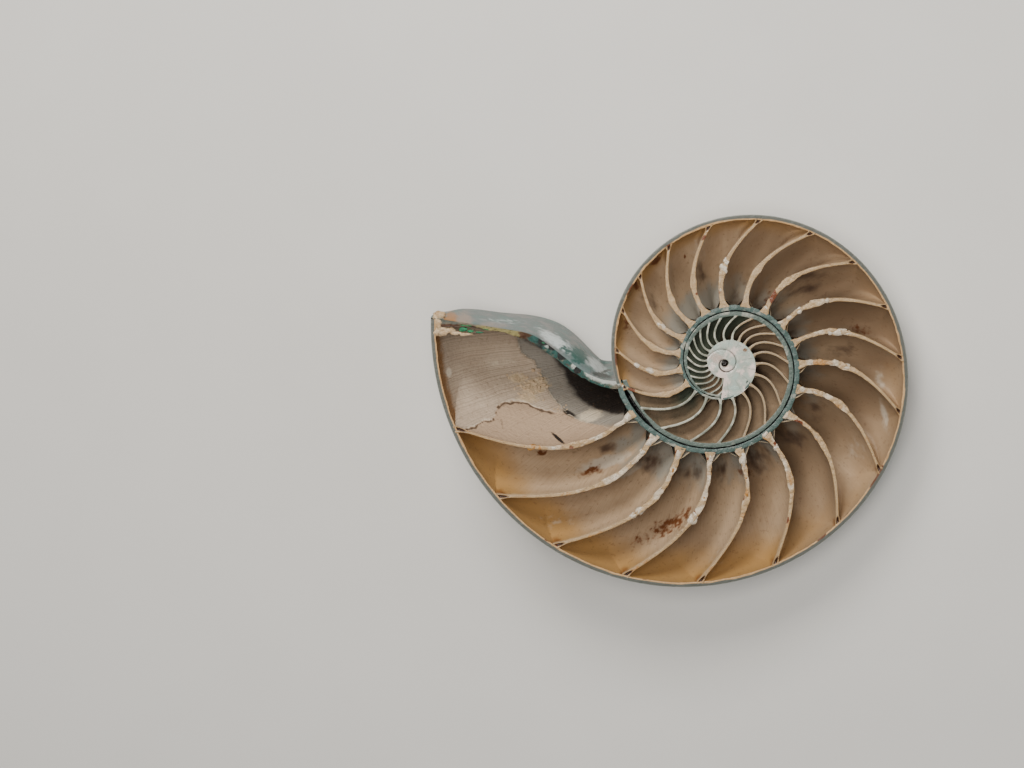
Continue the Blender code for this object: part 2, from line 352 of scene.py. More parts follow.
@dataclass(frozen=True)
class Seat:
    """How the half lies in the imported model: a lean, then a shift."""

    lean_x: float = 2.43
    lean_y: float = 9.62
    mount_x: float = 0.00504
    mount_y: float = -0.0054

    def lean(self) -> Matrix:
        """The lean as a matrix."""
        return Euler((math.radians(self.lean_x), math.radians(self.lean_y), 0.0)).to_matrix()

    def shift(self) -> Vector:
        """Where the spiral's centre lies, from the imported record's mount."""
        mount = Vector(frame["record"]["mounts"][0]["pos_m"])
        return mount - self.lean() @ Vector((self.mount_x, self.mount_y, 0.0))

    def lay(self, points: Array) -> Array:
        """Points of the sawn face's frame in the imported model's frame."""
        return points @ np.array(self.lean()).T + np.array(self.shift())


@dataclass(frozen=True)
class View:
    """The photograph's camera, in the sawn face's frame."""

    rise_deg: float = 11.0
    distance: float = 0.9
    zoom: float = 1.008
    sensor: float = 36.0

    def aim(self) -> Array:
        """Point of the sawn face in the middle of the picture."""
        return np.array([(0.5 * FRAME_PX[0] - CENTRE_PX[0]) * UNIT,
                         (CENTRE_PX[1] - 0.5 * FRAME_PX[1]) * UNIT, 0.0])

    def axes(self) -> tuple[Array, Array, Array]:
        """Right, up and back of the camera.

        Returns:
            Three directions in the sawn face's frame.
        """
        rise = math.radians(self.rise_deg)
        return (np.array([1.0, 0.0, 0.0]),
                np.array([0.0, math.cos(rise), -math.sin(rise)]),
                np.array([0.0, math.sin(rise), math.cos(rise)]))

    def eye(self) -> Array:
        """Place of the camera."""
        return self.aim() + self.distance * self.axes()[2]

    def pixels(self, points: Array) -> Array:
        """Where points fall on the photograph.

        Args:
            points: places in the sawn face's frame.

        Returns:
            Their pixels.
        """
        right, up, back = self.axes()
        away = points - self.eye()
        focal = self.zoom * self.distance / UNIT / -(away @ back)
        return np.stack([0.5 * FRAME_PX[0] + focal * (away @ right),
                         0.5 * FRAME_PX[1] - focal * (away @ up)], axis=-1)

    def on_face(self, x: float, y: float) -> Array:
        """Point of the sawn face behind a pixel of the photograph.

        Args:
            x: pixels from the left.
            y: pixels from the top.

        Returns:
            The point.
        """
        right, up, back = self.axes()
        ray = (right * (x - 0.5 * FRAME_PX[0]) + up * (0.5 * FRAME_PX[1] - y)) * UNIT / self.zoom
        ray = ray - back * self.distance
        eye = self.eye()
        return eye - ray * eye[2] / ray[2]

    @staticmethod
    def on_cut(x: float, y: float) -> Array:
        """Point of the sawn face that a pixel was measured at, square to the cut."""
        return np.array([(x - CENTRE_PX[0]) * UNIT, (CENTRE_PX[1] - y) * UNIT, 0.0])

    @staticmethod
    def cut_pixels(points: Array) -> Array:
        """Where points of the sawn face were measured, square to the cut."""
        return np.stack([CENTRE_PX[0] + points[..., 0] / UNIT,
                         CENTRE_PX[1] - points[..., 1] / UNIT], axis=-1)

    def make(self, seat: Seat) -> None:
        """Add the camera and make it the scene's own.

        Args:
            seat: how the half lies.
        """
        data = bpy.data.cameras.new("photo_camera")
        data.sensor_width = self.sensor
        data.lens = self.zoom * self.sensor * self.distance / (FRAME_PX[0] * UNIT)
        data.clip_start = 0.05
        camera = bpy.data.objects.new("photo_camera", data)
        bpy.context.scene.collection.objects.link(camera)
        turned = seat.lean() @ Matrix(self.axes()).transposed()
        spot = Matrix.Translation(Vector(seat.lay(self.eye())))
        camera.matrix_world = spot @ turned.to_4x4()
        bpy.context.scene.camera = camera


@dataclass
class Relief:
    """Grids of points that become one mesh, with named masks on its points."""

    name: str
    grids: list[tuple[Array, dict[str, Array], bool, bool]] = field(default_factory=list)

    def add(self, points: Array, flip: bool = False, wrap: bool = False, **masks: Any) -> None:
        """Add one grid.

        Args:
            points: rows by columns by x, y and z.
            flip: turn its faces over.
            wrap: join its last row to its first.
            masks: values for each point, by the mask's name.
        """
        shape = points.shape[:2]
        spread = {key: np.broadcast_to(value, shape) for key, value in masks.items()}
        self.grids.append((points, spread, flip, wrap))

    def build(self, seat: Seat, finish: bpy.types.Material) -> bpy.types.Object:
        """Make the object, lay it down and let it ride on the shell.

        Args:
            seat: how the half lies.
            finish: its material.

        Returns:
            The new object.
        """
        points, quads, start = [], [], 0
        for grid, _, flip, wrap in self.grids:
            rows, columns = grid.shape[:2]
            index = np.arange(rows * columns).reshape(rows, columns) + start
            if wrap:
                index = np.vstack([index, index[:1]])
            quad = np.stack([index[:-1, :-1], index[1:, :-1], index[1:, 1:], index[:-1, 1:]], -1)
            quad = quad.reshape(-1, 4)
            quads.append(quad[:, ::-1] if flip else quad)
            points.append(grid.reshape(-1, 3))
            start += rows * columns
        place, corners = seat.lay(np.concatenate(points)), np.concatenate(quads)
        mesh = bpy.data.meshes.new(self.name)
        mesh.vertices.add(len(place))
        mesh.vertices.foreach_set("co", place.astype(np.float32).ravel())
        mesh.loops.add(corners.size)
        mesh.loops.foreach_set("vertex_index", corners.astype(np.int32).ravel())
        mesh.polygons.add(len(corners))
        mesh.polygons.foreach_set("loop_start", np.arange(0, corners.size, 4, dtype=np.int32))
        mesh.update(calc_edges=True)
        mesh.shade_smooth()
        names = sorted({key for _, masks, _, _ in self.grids for key in masks})
        for key in names:
            values = [masks.get(key, np.zeros(grid.shape[:2])).ravel()
                      for grid, masks, _, _ in self.grids]
            layer = mesh.attributes.new(key, "FLOAT", "POINT")
            layer.data.foreach_set("value", np.concatenate(values).astype(np.float32))
        mesh.materials.append(finish)
        made = bpy.data.objects.new(self.name, mesh)
        bpy.context.scene.collection.objects.link(made)
        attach(made, "root")
        LOG.info("%s: %d faces", self.name, len(corners))
        return made


class Wiring:
    """Short calls that add and join the nodes of one tree."""

    def __init__(self, tree: bpy.types.NodeTree) -> None:
        """Keep the tree."""
        self.tree = tree

    def node(self, kind: str, **settings: Any) -> bpy.types.Node:
        """Add a node and set its options.

        Args:
            kind: type of the node.
            settings: its options by name.

        Returns:
            The node.
        """
        made = self.tree.nodes.new(kind)
        for key, value in settings.items():
            setattr(made, key, value)
        return made

    def feed(self, socket: bpy.types.NodeSocket, value: Any) -> None:
        """Join a socket to another, or set its value.

        Args:
            socket: the input.
            value: a socket or a plain value.
        """
        if isinstance(value, bpy.types.NodeSocket):
            self.tree.links.new(value, socket)
        else:
            socket.default_value = value

    def math(self, operation: str, first: Any, second: Any = 0.0) -> bpy.types.NodeSocket:
        """One sum on two values.

        Args:
            operation: name of the sum.
            first: socket or number.
            second: socket or number.

        Returns:
            The result.
        """
        made = self.node("ShaderNodeMath", operation=operation)
        self.feed(made.inputs[0], first)
        self.feed(made.inputs[1], second)
        return made.outputs[0]

    def span(self, value: Any, low: Any, high: Any, start: Any = 0.0,
             end: Any = 1.0) -> bpy.types.NodeSocket:
        """Smooth step of a value between low and high, from start to end.

        Args:
            value: what is stepped.
            low: where the step starts.
            high: where it ends.
            start: result at low.
            end: result at high.

        Returns:
            The result.
        """
        made = self.node("ShaderNodeMapRange", interpolation_type="SMOOTHSTEP")
        for socket, given in zip(made.inputs, (value, low, high, start, end)):
            self.feed(socket, given)
        return made.outputs[0]

    def blend(self, share: Any, first: Any, second: Any,
              mode: str = "MIX") -> bpy.types.NodeSocket:
        """Mix of two colours.

        Args:
            share: how much of the second.
            first: one colour.
            second: the other.
            mode: kind of mix.

        Returns:
            The mixed colour.
        """
        made = self.node("ShaderNodeMix", data_type="RGBA", blend_type=mode)
        self.feed(made.inputs[0], share)
        self.feed(made.inputs[6], first)
        self.feed(made.inputs[7], second)
        return made.outputs[2]

    def mask(self, name: str) -> bpy.types.NodeSocket:
        """A named mask of the mesh."""
        return self.node("ShaderNodeAttribute", attribute_name=name).outputs["Fac"]

    def noise(self, size: Any, detail: float = 3.0) -> bpy.types.NodeSocket:
        """Noise from 0 to 1 with bumps of a size in metres.

        Args:
            size: metres from bump to bump.
            detail: how many finer layers.

        Returns:
            The noise.
        """
        made = self.node("ShaderNodeTexNoise")
        self.feed(made.inputs["Vector"], self.node("ShaderNodeTexCoord").outputs["Object"])
        self.feed(made.inputs["Scale"], self.math("DIVIDE", 1.0, size))
        made.inputs["Detail"].default_value = detail
        return made.outputs[0]


class Effects:
    """Node groups that several finishes share, each built once."""

    def __init__(self) -> None:
        """Build the groups."""
        self.mottle = self._group("mottle", {"Color": "Color", "Tint": "Color", "Amount": "Float",
                                             "Size": "Float"}, self._mottle)
        self.stain = self._group("stain", {"Color": "Color", "Tint": "Color", "Mask": "Float",
                                           "Ragged": "Float", "Size": "Float"}, self._stain)
        self.pearl = self._group("pearl", {"Color": "Color", "Cool": "Color", "Warm": "Color",
                                           "Size": "Float"}, self._pearl)
        self.lines = self._group("growth_lines", {"Color": "Color", "Tint": "Color",
                                                  "Along": "Float", "Spacing": "Float",
                                                  "Amount": "Float"}, self._lines)
        self.dust = self._group("dust", {"Color": "Color", "Tint": "Color", "Amount": "Float",
                                         "Size": "Float"}, self._dust)

    @staticmethod
    def _group(name: str, given: dict[str, str], fill: Callable[..., Any]) -> bpy.types.NodeTree:
        """Make a group with a colour and a height as its outputs.

        Args:
            name: the group's name.
            given: kinds of its inputs by name.
            fill: what adds its nodes.

        Returns:
            The group.
        """
        tree = bpy.data.node_groups.new(name, "ShaderNodeTree")
        for key, kind in given.items():
            tree.interface.new_socket(name=key, in_out="INPUT", socket_type=f"NodeSocket{kind}")
        tree.interface.new_socket(name="Color", in_out="OUTPUT", socket_type="NodeSocketColor")
        tree.interface.new_socket(name="Height", in_out="OUTPUT", socket_type="NodeSocketFloat")
        wires = Wiring(tree)
        source, sink = wires.node("NodeGroupInput"), wires.node("NodeGroupOutput")
        colour, height = fill(wires, source.outputs)
        wires.feed(sink.inputs["Color"], colour)
        wires.feed(sink.inputs["Height"], height)
        return tree

    @staticmethod
    def _mottle(wires: Wiring, given: Any) -> tuple[Any, Any]:
        """Broad and fine patches of a second tint.

        Args:
            wires: the group's nodes.
            given: the group's inputs.

        Returns:
            The colour and the height.
        """
        broad = wires.noise(given["Size"], 4.0)
        fine = wires.noise(wires.math("MULTIPLY", given["Size"], 0.16), 4.0)
        both = wires.math("ADD", wires.math("MULTIPLY", broad, 0.7),
                          wires.math("MULTIPLY", fine, 0.3))
        share = wires.math("MULTIPLY", wires.span(both, 0.4, 0.62), given["Amount"])
        return wires.blend(share, given["Color"], given["Tint"]), fine

    @staticmethod
    def _stain(wires: Wiring, given: Any) -> tuple[Any, Any]:
        """A mask's tint, with its edge broken up.

        Args:
            wires: the group's nodes.
            given: the group's inputs.

        Returns:
            The colour and the height.
        """
        noise = wires.math("SUBTRACT", wires.noise(given["Size"], 4.0), 0.5)
        broken = wires.math("ADD", given["Mask"], wires.math("MULTIPLY", noise, given["Ragged"]))
        share = wires.math("MULTIPLY", wires.span(broken, 0.12, 0.62),
                           wires.span(given["Mask"], 0.01, 0.1))
        return wires.blend(share, given["Color"], given["Tint"]), share

    @staticmethod
    def _pearl(wires: Wiring, given: Any) -> tuple[Any, Any]:
        """Cool and warm gleams of mother-of-pearl.

        Args:
            wires: the group's nodes.
            given: the group's inputs.

        Returns:
            The colour and the height.
        """
        noise = wires.noise(given["Size"], 2.0)
        cool = wires.blend(wires.span(noise, 0.5, 0.66), given["Color"], given["Cool"])
        warm = wires.blend(wires.span(noise, 0.5, 0.36), cool, given["Warm"])
        return warm, wires.noise(wires.math("MULTIPLY", given["Size"], 0.3), 5.0)

    @staticmethod
    def _lines(wires: Wiring, given: Any) -> tuple[Any, Any]:
        """Fine lines across a measure that runs along the growth.

        Args:
            wires: the group's nodes.
            given: the group's inputs.

        Returns:
            The colour and the height.
        """
        wander = wires.math("MULTIPLY", wires.noise(0.009, 2.0), 0.4)
        step = wires.math("ADD", wires.math("DIVIDE", given["Along"], given["Spacing"]), wander)
        thread = wires.node("ShaderNodeTexNoise", noise_dimensions="1D")
        wires.feed(thread.inputs["W"], step)
        thread.inputs["Detail"].default_value = 3.0
        share = wires.math("MULTIPLY", wires.span(thread.outputs[0], 0.42, 0.66), given["Amount"])
        return wires.blend(share, given["Color"], given["Tint"]), thread.outputs[0]

    @staticmethod
    def _dust(wires: Wiring, given: Any) -> tuple[Any, Any]:
        """Small specks.

        Args:
            wires: the group's nodes.
            given: the group's inputs.

        Returns:
            The colour and the height.
        """
        speck = wires.span(wires.noise(given["Size"], 5.0), 0.6, 0.68)
        share = wires.math("MULTIPLY", speck, given["Amount"])
        return wires.blend(share, given["Color"], given["Tint"]), speck


@dataclass(frozen=True)
class Tint:
    """A colour that a mask of the mesh lays over a finish."""

    mask: str
    colour: Colour
    ragged: float = 0.5
    size: float = 0.0016


@dataclass(frozen=True)
class Finish:
    """A surface of the shell, from its colours to its gloss."""

    name: str
    base: Colour
    second: Colour
    mottle: float = 0.6
    mottle_size: float = 0.006
    tints: tuple[Tint, ...] = ()
    speck: Colour = (0.05, 0.03, 0.015, 1.0)
    specks: float = 0.3
    speck_size: float = 0.0012
    pearl: tuple[Colour, Colour] | None = None
    pearl_size: float = 0.008
    line: Colour | None = None
    line_spacing: float = 0.6
    line_amount: float = 0.5
    rough: float = 0.45
    rough_spread: float = 0.25
    bump: float = 0.35
    bump_height: float = 0.0004
    coat: float = 0.0
    coat_rough: float = 0.2
    specular: float = 0.5

    def make(self, effects: Effects) -> bpy.types.Material:
        """Build the material.

        Args:
            effects: the shared node groups.

        Returns:
            The new material.
        """
        made = bpy.data.materials.new(self.name)
        made.use_nodes = True
        wires = Wiring(made.node_tree)
        surface = made.node_tree.nodes["Principled BSDF"]

        def place(tree: bpy.types.NodeTree, **given: Any) -> Any:
            """Place a group with its values.

            Args:
                tree: the group.
                given: its values by name.

            Returns:
                Its outputs.
            """
            group = wires.node("ShaderNodeGroup", node_tree=tree)
            for key, value in given.items():
                wires.feed(group.inputs[key], value)
            return group.outputs

        out = place(effects.mottle, Color=self.base, Tint=self.second, Amount=self.mottle,
                    Size=self.mottle_size)
        colour, height = out["Color"], out["Height"]
        if self.pearl:
            out = place(effects.pearl, Color=colour, Cool=self.pearl[0], Warm=self.pearl[1],
                        Size=self.pearl_size)
            colour = out["Color"]
        if self.line:
            out = place(effects.lines, Color=colour, Tint=self.line, Along=wires.mask("growth"),
                        Spacing=self.line_spacing, Amount=self.line_amount)
            colour = out["Color"]
            height = wires.math("ADD", height, wires.math("MULTIPLY", out["Height"], 0.8))
        for tint in self.tints:
            out = place(effects.stain, Color=colour, Tint=tint.colour, Mask=wires.mask(tint.mask),
                        Ragged=tint.ragged, Size=tint.size)
            colour = out["Color"]
        out = place(effects.dust, Color=colour, Tint=self.speck, Amount=self.specks,
                    Size=self.speck_size)
        wires.feed(surface.inputs["Base Color"], out["Color"])
        low, high = self.rough - 0.5 * self.rough_spread, self.rough + 0.5 * self.rough_spread
        wires.feed(surface.inputs["Roughness"], wires.span(height, 0.3, 0.7, low, high))
        surface.inputs["Coat Weight"].default_value = self.coat
        surface.inputs["Coat Roughness"].default_value = self.coat_rough
        surface.inputs["Specular IOR Level"].default_value = self.specular
        bump = wires.node("ShaderNodeBump")
        wires.feed(bump.inputs["Height"], height)
        bump.inputs["Strength"].default_value = self.bump
        bump.inputs["Distance"].default_value = self.bump_height
        wires.feed(surface.inputs["Normal"], bump.outputs[0])
        return made


CHAMBER = Finish(
    "chamber_lining", paint("bda486"), paint("a3896d"), mottle=0.5, mottle_size=0.014,
    # wall: painted amber glow of light through the thin outer wall
    tints=(Tint("tone", paint("8c745b"), 0.2, 0.02), Tint("wall", paint("a8824f"), 0.25, 0.01),
           Tint("ringside", paint("9d988c"), 0.7, 0.007),
           # painted highlight: pale glossy reflections on the linings
           Tint("gleam", paint("c6b9a6"), 0.9, 0.003),
           # corner: painted shade, golden-brown, where the septa meet the outer wall near the cut
           Tint("shade", paint("5c4a3d"), 1.2, 0.006), Tint("corner", paint("7a4a1c"), 0.5, 0.003),
           # painted rim light: lighter where the septum faces meet the cut
           Tint("rim", paint("c9b390"), 0.4, 0.002), Tint("stain", paint("6b3f22"), 1.7, 0.002)),
    speck=paint("5a3a20"), specks=0.3, speck_size=0.0014, line=paint("8f7256"), line_spacing=1.6,
    line_amount=0.22, rough=0.34, bump=0.16, coat=0.15)
SEPTUM_EDGE = Finish(
    "septum_edge", paint("b69a73"), paint("9c7c55"), mottle=0.5, mottle_size=0.0026,
    tints=(Tint("border", paint("94744a"), 0.3, 0.001),
           Tint("white", paint("cebfa8"), 0.8, 0.0022),
           Tint("amber", paint("a8763a"), 0.9, 0.0022),
           Tint("pit", paint("3a1e0d"), 0.3, 0.001), Tint("stain", paint("6b3516"), 1.2, 0.0014)),
    specks=0.5, speck=paint("6a4a2c"), speck_size=0.0006, rough=0.36, bump=0.7, coat=0.15)
WALL_EDGE = Finish(
    "wall_edge", paint("c09a6a"), paint("a67f50"), mottle=0.6, mottle_size=0.004,
    tints=(Tint("layer", paint("53564f"), 0.2, 0.001), Tint("skin", paint("74766f"), 0.3, 0.001),
           Tint("stain", paint("5e3417"), 1.3, 0.0016)),
    specks=0.4, speck=paint("5a4632"), speck_size=0.0006, rough=0.5, bump=0.45)
OUTSIDE = Finish(
    "polished_outside", paint("c9c8c0"), paint("adb0ab"), mottle=0.6, mottle_size=0.014,
    pearl=(paint("a9bab7"), paint("d6c0b6")), pearl_size=0.011, line=paint("9b9a92"),
    line_spacing=0.5, line_amount=0.35, speck=paint("6b5a46"), specks=0.22,
    speck_size=0.0016, rough=0.26, rough_spread=0.16, bump=0.14, coat=0.4)
RING_EDGE = Finish(
    "ring_edge", paint("4d615c"), paint("364842"), mottle=0.7, mottle_size=0.003,
    tints=(Tint("inner", paint("58655d"), 0.4, 0.0014),
           Tint("white", paint("96978a"), 0.9, 0.0012),
           Tint("gap", paint("0c0d0c"), 0.1, 0.001)),
    specks=0.5, speck=paint("1f3733"), speck_size=0.0008, rough=0.38, bump=0.5, coat=0.15)
COIL_CHAMBER = Finish(
    "coil_chamber", paint("84705a"), paint("665746"), mottle=0.5, mottle_size=0.006,
    # painted rim light: lighter near the cut
    tints=(Tint("olive", paint("474d41"), 0.3, 0.006), Tint("rim", paint("a3957c"), 0.5, 0.0015),
           Tint("shade", paint("3f3126"), 0.5, 0.004)),
    specks=0.25, speck_size=0.001, rough=0.36, bump=0.2, coat=0.1)
COIL_EDGE = Finish(
    "coil_edge", paint("8a8b7a"), paint("697066"), mottle=0.6, mottle_size=0.002,
    tints=(Tint("white", paint("b0b0a0"), 0.8, 0.001),
           Tint("warm", paint("a08a6b"), 0.5, 0.003)),
    specks=0.4, speck=paint("464f49"), speck_size=0.0006, rough=0.34, bump=0.5, coat=0.2)
CORE = Finish(
    "core_pearl", paint("b8bdb0"), paint("97a296"), mottle=0.6, mottle_size=0.003,
    pearl=(paint("a8b9ae"), paint("e0cfc4")), pearl_size=0.0035,
    tints=(Tint("pink", paint("c9a091"), 0.4, 0.002), Tint("dark", paint("1f1712"), 0.2, 0.001),
           Tint("stain", paint("7a4b27"), 0.7, 0.0012), Tint("seam", paint("8c9488"), 0.3, 0.001)),
    specks=0.2, rough=0.22, bump=0.3, coat=0.4)
BODY = Finish(
    "body_lining", paint("bdaa94"), paint("a8927c"), mottle=0.45, mottle_size=0.010,
    line=paint("998775"), line_spacing=1.9, line_amount=0.55,
    tints=(Tint("smooth", paint("b0967c"), 0.3, 0.004), Tint("grey", paint("8e877c"), 0.5, 0.005),
           # dark: painted shade of the hollow under the roof
           # wall: painted brown glow along the outer wall
           Tint("wall", paint("8c6236"), 0.5, 0.003), Tint("dark", paint("261f1a"), 0.6, 0.004),
           # pale flaked edges, with a painted highlight along the top of the lower sheet's step
           Tint("crumb", paint("c4ad8c"), 1.4, 0.0012), Tint("flake", paint("d9cab4"), 0.6, 0.001),
           Tint("shadow", paint("584636"), 0.6, 0.0012),
           Tint("cream", paint("d0c1a8"), 0.8, 0.002),
           Tint("crack", paint("1c1410"), 0.3, 0.0008)),
    speck=paint("6a523c"), specks=0.3, rough=0.52, bump=0.55, bump_height=0.0007)
ROOF = Finish(
    "roof_nacre", paint("4f5c5a"), paint("3b4846"), mottle=0.5, mottle_size=0.006,
    pearl=(paint("3f605b"), paint("6d6864")), pearl_size=0.006, line=paint("8b9795"),
    line_spacing=0.45, line_amount=0.5,
    # white: a painted highlight along the middle of the nacre band, and white crinkled nacre
    tints=(Tint("white", paint("c4cccb"), 0.9, 0.0022), Tint("teal", paint("1a4a43"), 2.2, 0.0018),
           Tint("amber", paint("96693a"), 1.0, 0.0018), Tint("pink", paint("8d7c6e"), 1.0, 0.003),
           Tint("dark", paint("3a3f3b"), 0.8, 0.0014)),
    specks=0.25, speck=paint("3f5f58"), rough=0.4, rough_spread=0.2, bump=0.4, coat=0.1)
ROOF_EDGE = Finish(
    "roof_edge", paint("7a705e"), paint("4c564f"), mottle=0.8, mottle_size=0.0024,
    tints=(Tint("brown", paint("4c301b"), 0.8, 0.0018), Tint("teal", paint("245049"), 1.2, 0.0012),
           Tint("yellow", paint("8c8150"), 1.2, 0.0012),
           Tint("green", paint("1d8a4f"), 1.2, 0.0012),
           Tint("white", paint("b9bdb4"), 0.9, 0.0012),
           Tint("dark", paint("181a18"), 1.2, 0.0014)),
    specks=0.7, speck=paint("151d1b"), speck_size=0.0007, rough=0.5, bump=0.9, bump_height=0.0007)
# Painted shade: the roof's underside is coloured dark, and darker deeper in, for the shadow under
# the roof.
SHADED_ROOF_UNDER = Finish(
    "roof_underside", paint("4d4339"), paint("352d26"), mottle=0.6, mottle_size=0.006,
    tints=(Tint("dark", paint("2a211a"), 0.6, 0.004),), line=paint("5a4c3f"), line_spacing=0.4,
    rough=0.55, bump=0.4)
WHITE_CRUMB = Finish(
    "white_crumb", paint("cfc3b1"), paint("ab9473"), mottle=0.5, mottle_size=0.0016,
    specks=0.2, speck=paint("8f6a42"), speck_size=0.0005, rough=0.24, bump=0.5, coat=0.5)
AMBER_CRUMB = Finish(
    "amber_crumb", paint("b98746"), paint("8a5520"), mottle=0.7, mottle_size=0.0016,
    specks=0.3, speck_size=0.0006, rough=0.36, bump=0.5, coat=0.2)
BEIGE_CRUMB = Finish(
    "beige_crumb", paint("c9b08c"), paint("a07c50"), mottle=0.7, mottle_size=0.002,
    specks=0.5, speck=paint("5a3a1e"), speck_size=0.0007, rough=0.6, bump=0.8)
LINING_CRUMB = Finish(
    "lining_crumb", paint("c3ab8a"), paint("a58a6b"), mottle=0.6, mottle_size=0.0016,
    specks=0.4, speck=paint("6b4f35"), speck_size=0.0006, rough=0.6, bump=0.6)
GREEN_CRUMB = Finish(
    "green_crust", paint("1f7a4c"), paint("1a4f45"), mottle=0.7, mottle_size=0.0014,
    specks=0.4, speck=paint("0d2d26"), speck_size=0.0006, rough=0.5, bump=0.7)

STAINS = (
    Spot(668, 526, 26, 8, 28, 0.5), Spot(640, 540, 10, 5, 20, 0.4), Spot(686, 514, 8, 5, 40, 0.5),
    Spot(655, 258, 5, 7), Spot(685, 257, 1.5, 1.6), Spot(636, 285, 3, 6, 20, 0.7),
    Spot(626, 325, 4, 5, 0, 0.6), Spot(541, 453, 4, 3), Spot(745, 470, 8, 5, 0, 0.6),
    Spot(590, 470, 14, 5, 15, 0.5), Spot(770, 300, 8, 6, 30, 0.5), Spot(860, 330, 9, 4, -20, 0.5))
# Painted highlights: pale spots that stand for glossy reflections on the chamber linings.
PAINTED_HIGHLIGHTS = (
    Spot(884, 415, 4, 18, 10, 0.45), Spot(880, 380, 5, 14, 0, 0.35),
    Spot(855, 450, 10, 14, 30, 0.25), Spot(605, 462, 26, 6, 18, 0.8),
    Spot(630, 470, 16, 5, 30, 0.8), Spot(650, 460, 10, 14, 30, 0.6),
    Spot(560, 520, 26, 8, 10, 0.2), Spot(720, 560, 14, 10, 40, 0.2), Spot(700, 250, 8, 18, 0, 0.3))
SHADES = (
    Spot(650, 462, 16, 12, 20, 0.4), Spot(690, 472, 14, 14, 0, 0.35),
    Spot(760, 458, 15, 14, 0, 0.4), Spot(792, 438, 15, 11, 0, 0.4), Spot(818, 412, 12, 12, 0, 0.3),
    Spot(722, 474, 11, 14, 0, 0.35), Spot(602, 448, 20, 6, 12, 0.4),
    Spot(800, 285, 26, 12, 20, 0.35), Spot(840, 350, 18, 8, 0, 0.35),
    Spot(700, 275, 8, 16, 0, 0.3), Spot(650, 300, 8, 14, 30, 0.25))
CHAMBER_TONES = (0.15, 0.1, 0.2, 0.25, 0.2, 0.4, 0.3, 0.45, 0.35, 0.5,
                 0.4, 0.45, 0.4, 0.2, 0.12, 0.1, 0.18, 0.12, 0.2)


@dataclass
class Cavity:
    """Hollow between two septa, as walls with their masks."""

    spiral: Spiral
    front: Face
    back: Face
    least: float
    deepest: float
    coil: bool
    across_first: float = 0.07
    fillets: tuple[float, float] = (0.8, 0.8)
    fillet_start: float = 0.5

    def at(self, across: Array, tau: Array, along: Array) -> tuple[Array, Array]:
        """Points of the hollow and their growth.

        Args:
            across: 0 at the ring and 1 at the wall.
            tau: degrees down the section.
            along: 0 at the lipward face and 1 at the coreward one.

        Returns:
            The points and the growth angle of each.
        """
        first, last = self.front(across, tau), self.back(across, tau)
        corner = np.clip(1.0 - across / self.across_first, 0.0, 1.0)
        half = 0.5 * np.maximum(last - first, self.least) * (1.0 - 0.52 * corner)
        bend = np.clip((across - self.fillet_start) / (1.0 - self.fillet_start), 0.0, 1.0)
        bend = half * (1.0 - np.sqrt(1.0 - bend * bend)) * ease(tau / 40.0)
        growth = 0.5 * (first + last) - half + bend * self.fillets[0] + along * (
            2.0 * half - bend * (self.fillets[0] + self.fillets[1]))
        low, low_deep, high, high_deep = self.spiral.ends(growth, tau, self.coil)
        return self.spiral.place(low + (high - low) * across, growth,
                                 -(low_deep + (high_deep - low_deep) * across)), growth

    def walls(self, counts: tuple[int, int, int]) -> dict[str, tuple[Array, Array, Array]]:
        """The five walls: points, growth and tau of each, by its name.

        Args:
            counts: rows across, down and along.

        Returns:
            The walls by name.
        """
        v = 0.5 - 0.5 * np.cos(np.linspace(0.0, math.pi, counts[0]))
        t = self.deepest * np.linspace(0.0, 1.0, counts[1]) ** 1.25
        w = np.linspace(0.0, 1.0, counts[2])
        found = {}
        axis = {"v": v, "t": t, "w": w}
        for name, rows, fixed_at in (
                ("outer", "wt", 1.0), ("ring", "wt", 0.0), ("deep", "wv", self.deepest),
                ("lipward", "vt", 0.0), ("coreward", "vt", 1.0)):
            first, second = np.meshgrid(axis[rows[0]], axis[rows[1]], indexing="ij")
            fixed = np.full_like(first, fixed_at)
            if rows == "wt":
                across, tau, along = fixed, second, first
            elif rows == "wv":
                across, tau, along = second, fixed, first
            else:
                across, tau, along = first, second, fixed
            points, growth = self.at(across, tau, along)
            found[name] = (points, growth, tau)
        return found


def rag(base: float, across: Array, side: Any) -> Array:
    """Unevenness of a septum's sawn edge, in metres to one side.

    Args:
        base: where the septum stands.
        across: 0 at the ring and 1 at the outer wall.
        side: -1 or 1, which side.

    Returns:
        Metres.
    """
    spot = np.stack(np.broadcast_arrays(across * 0.05, base * 0.01 + side * 0.004, 0.0), -1)
    rough = 0.15 + 0.85 * ease((0.72 - across) / 0.25) * worn_share(base)
    return UNIT * rough * (0.9 * rumple(spot, 0.0034, 3) + 0.45 * rumple(spot, 0.0013, 4))


def worn_share(base: float) -> float:
    """How rough a septum's sawn edge is: the younger ones are, the older ones are clean."""
    return float(0.25 + 0.75 * ease((262.0 - base) / 60.0))


def flare(across: Array) -> Array:
    """Widening of a septum where it meets the ring and the wall, in metres to one side.

    Args:
        across: 0 at the ring and 1 at the outer wall.

    Returns:
        Metres.
    """
    ring = 2.6 * np.clip(1.0 - across / 0.10, 0.0, 1.0) ** 2
    wall = 2.4 * np.clip((across - 0.93) / 0.07, 0.0, 1.0) ** 2
    return UNIT * (ring + wall)


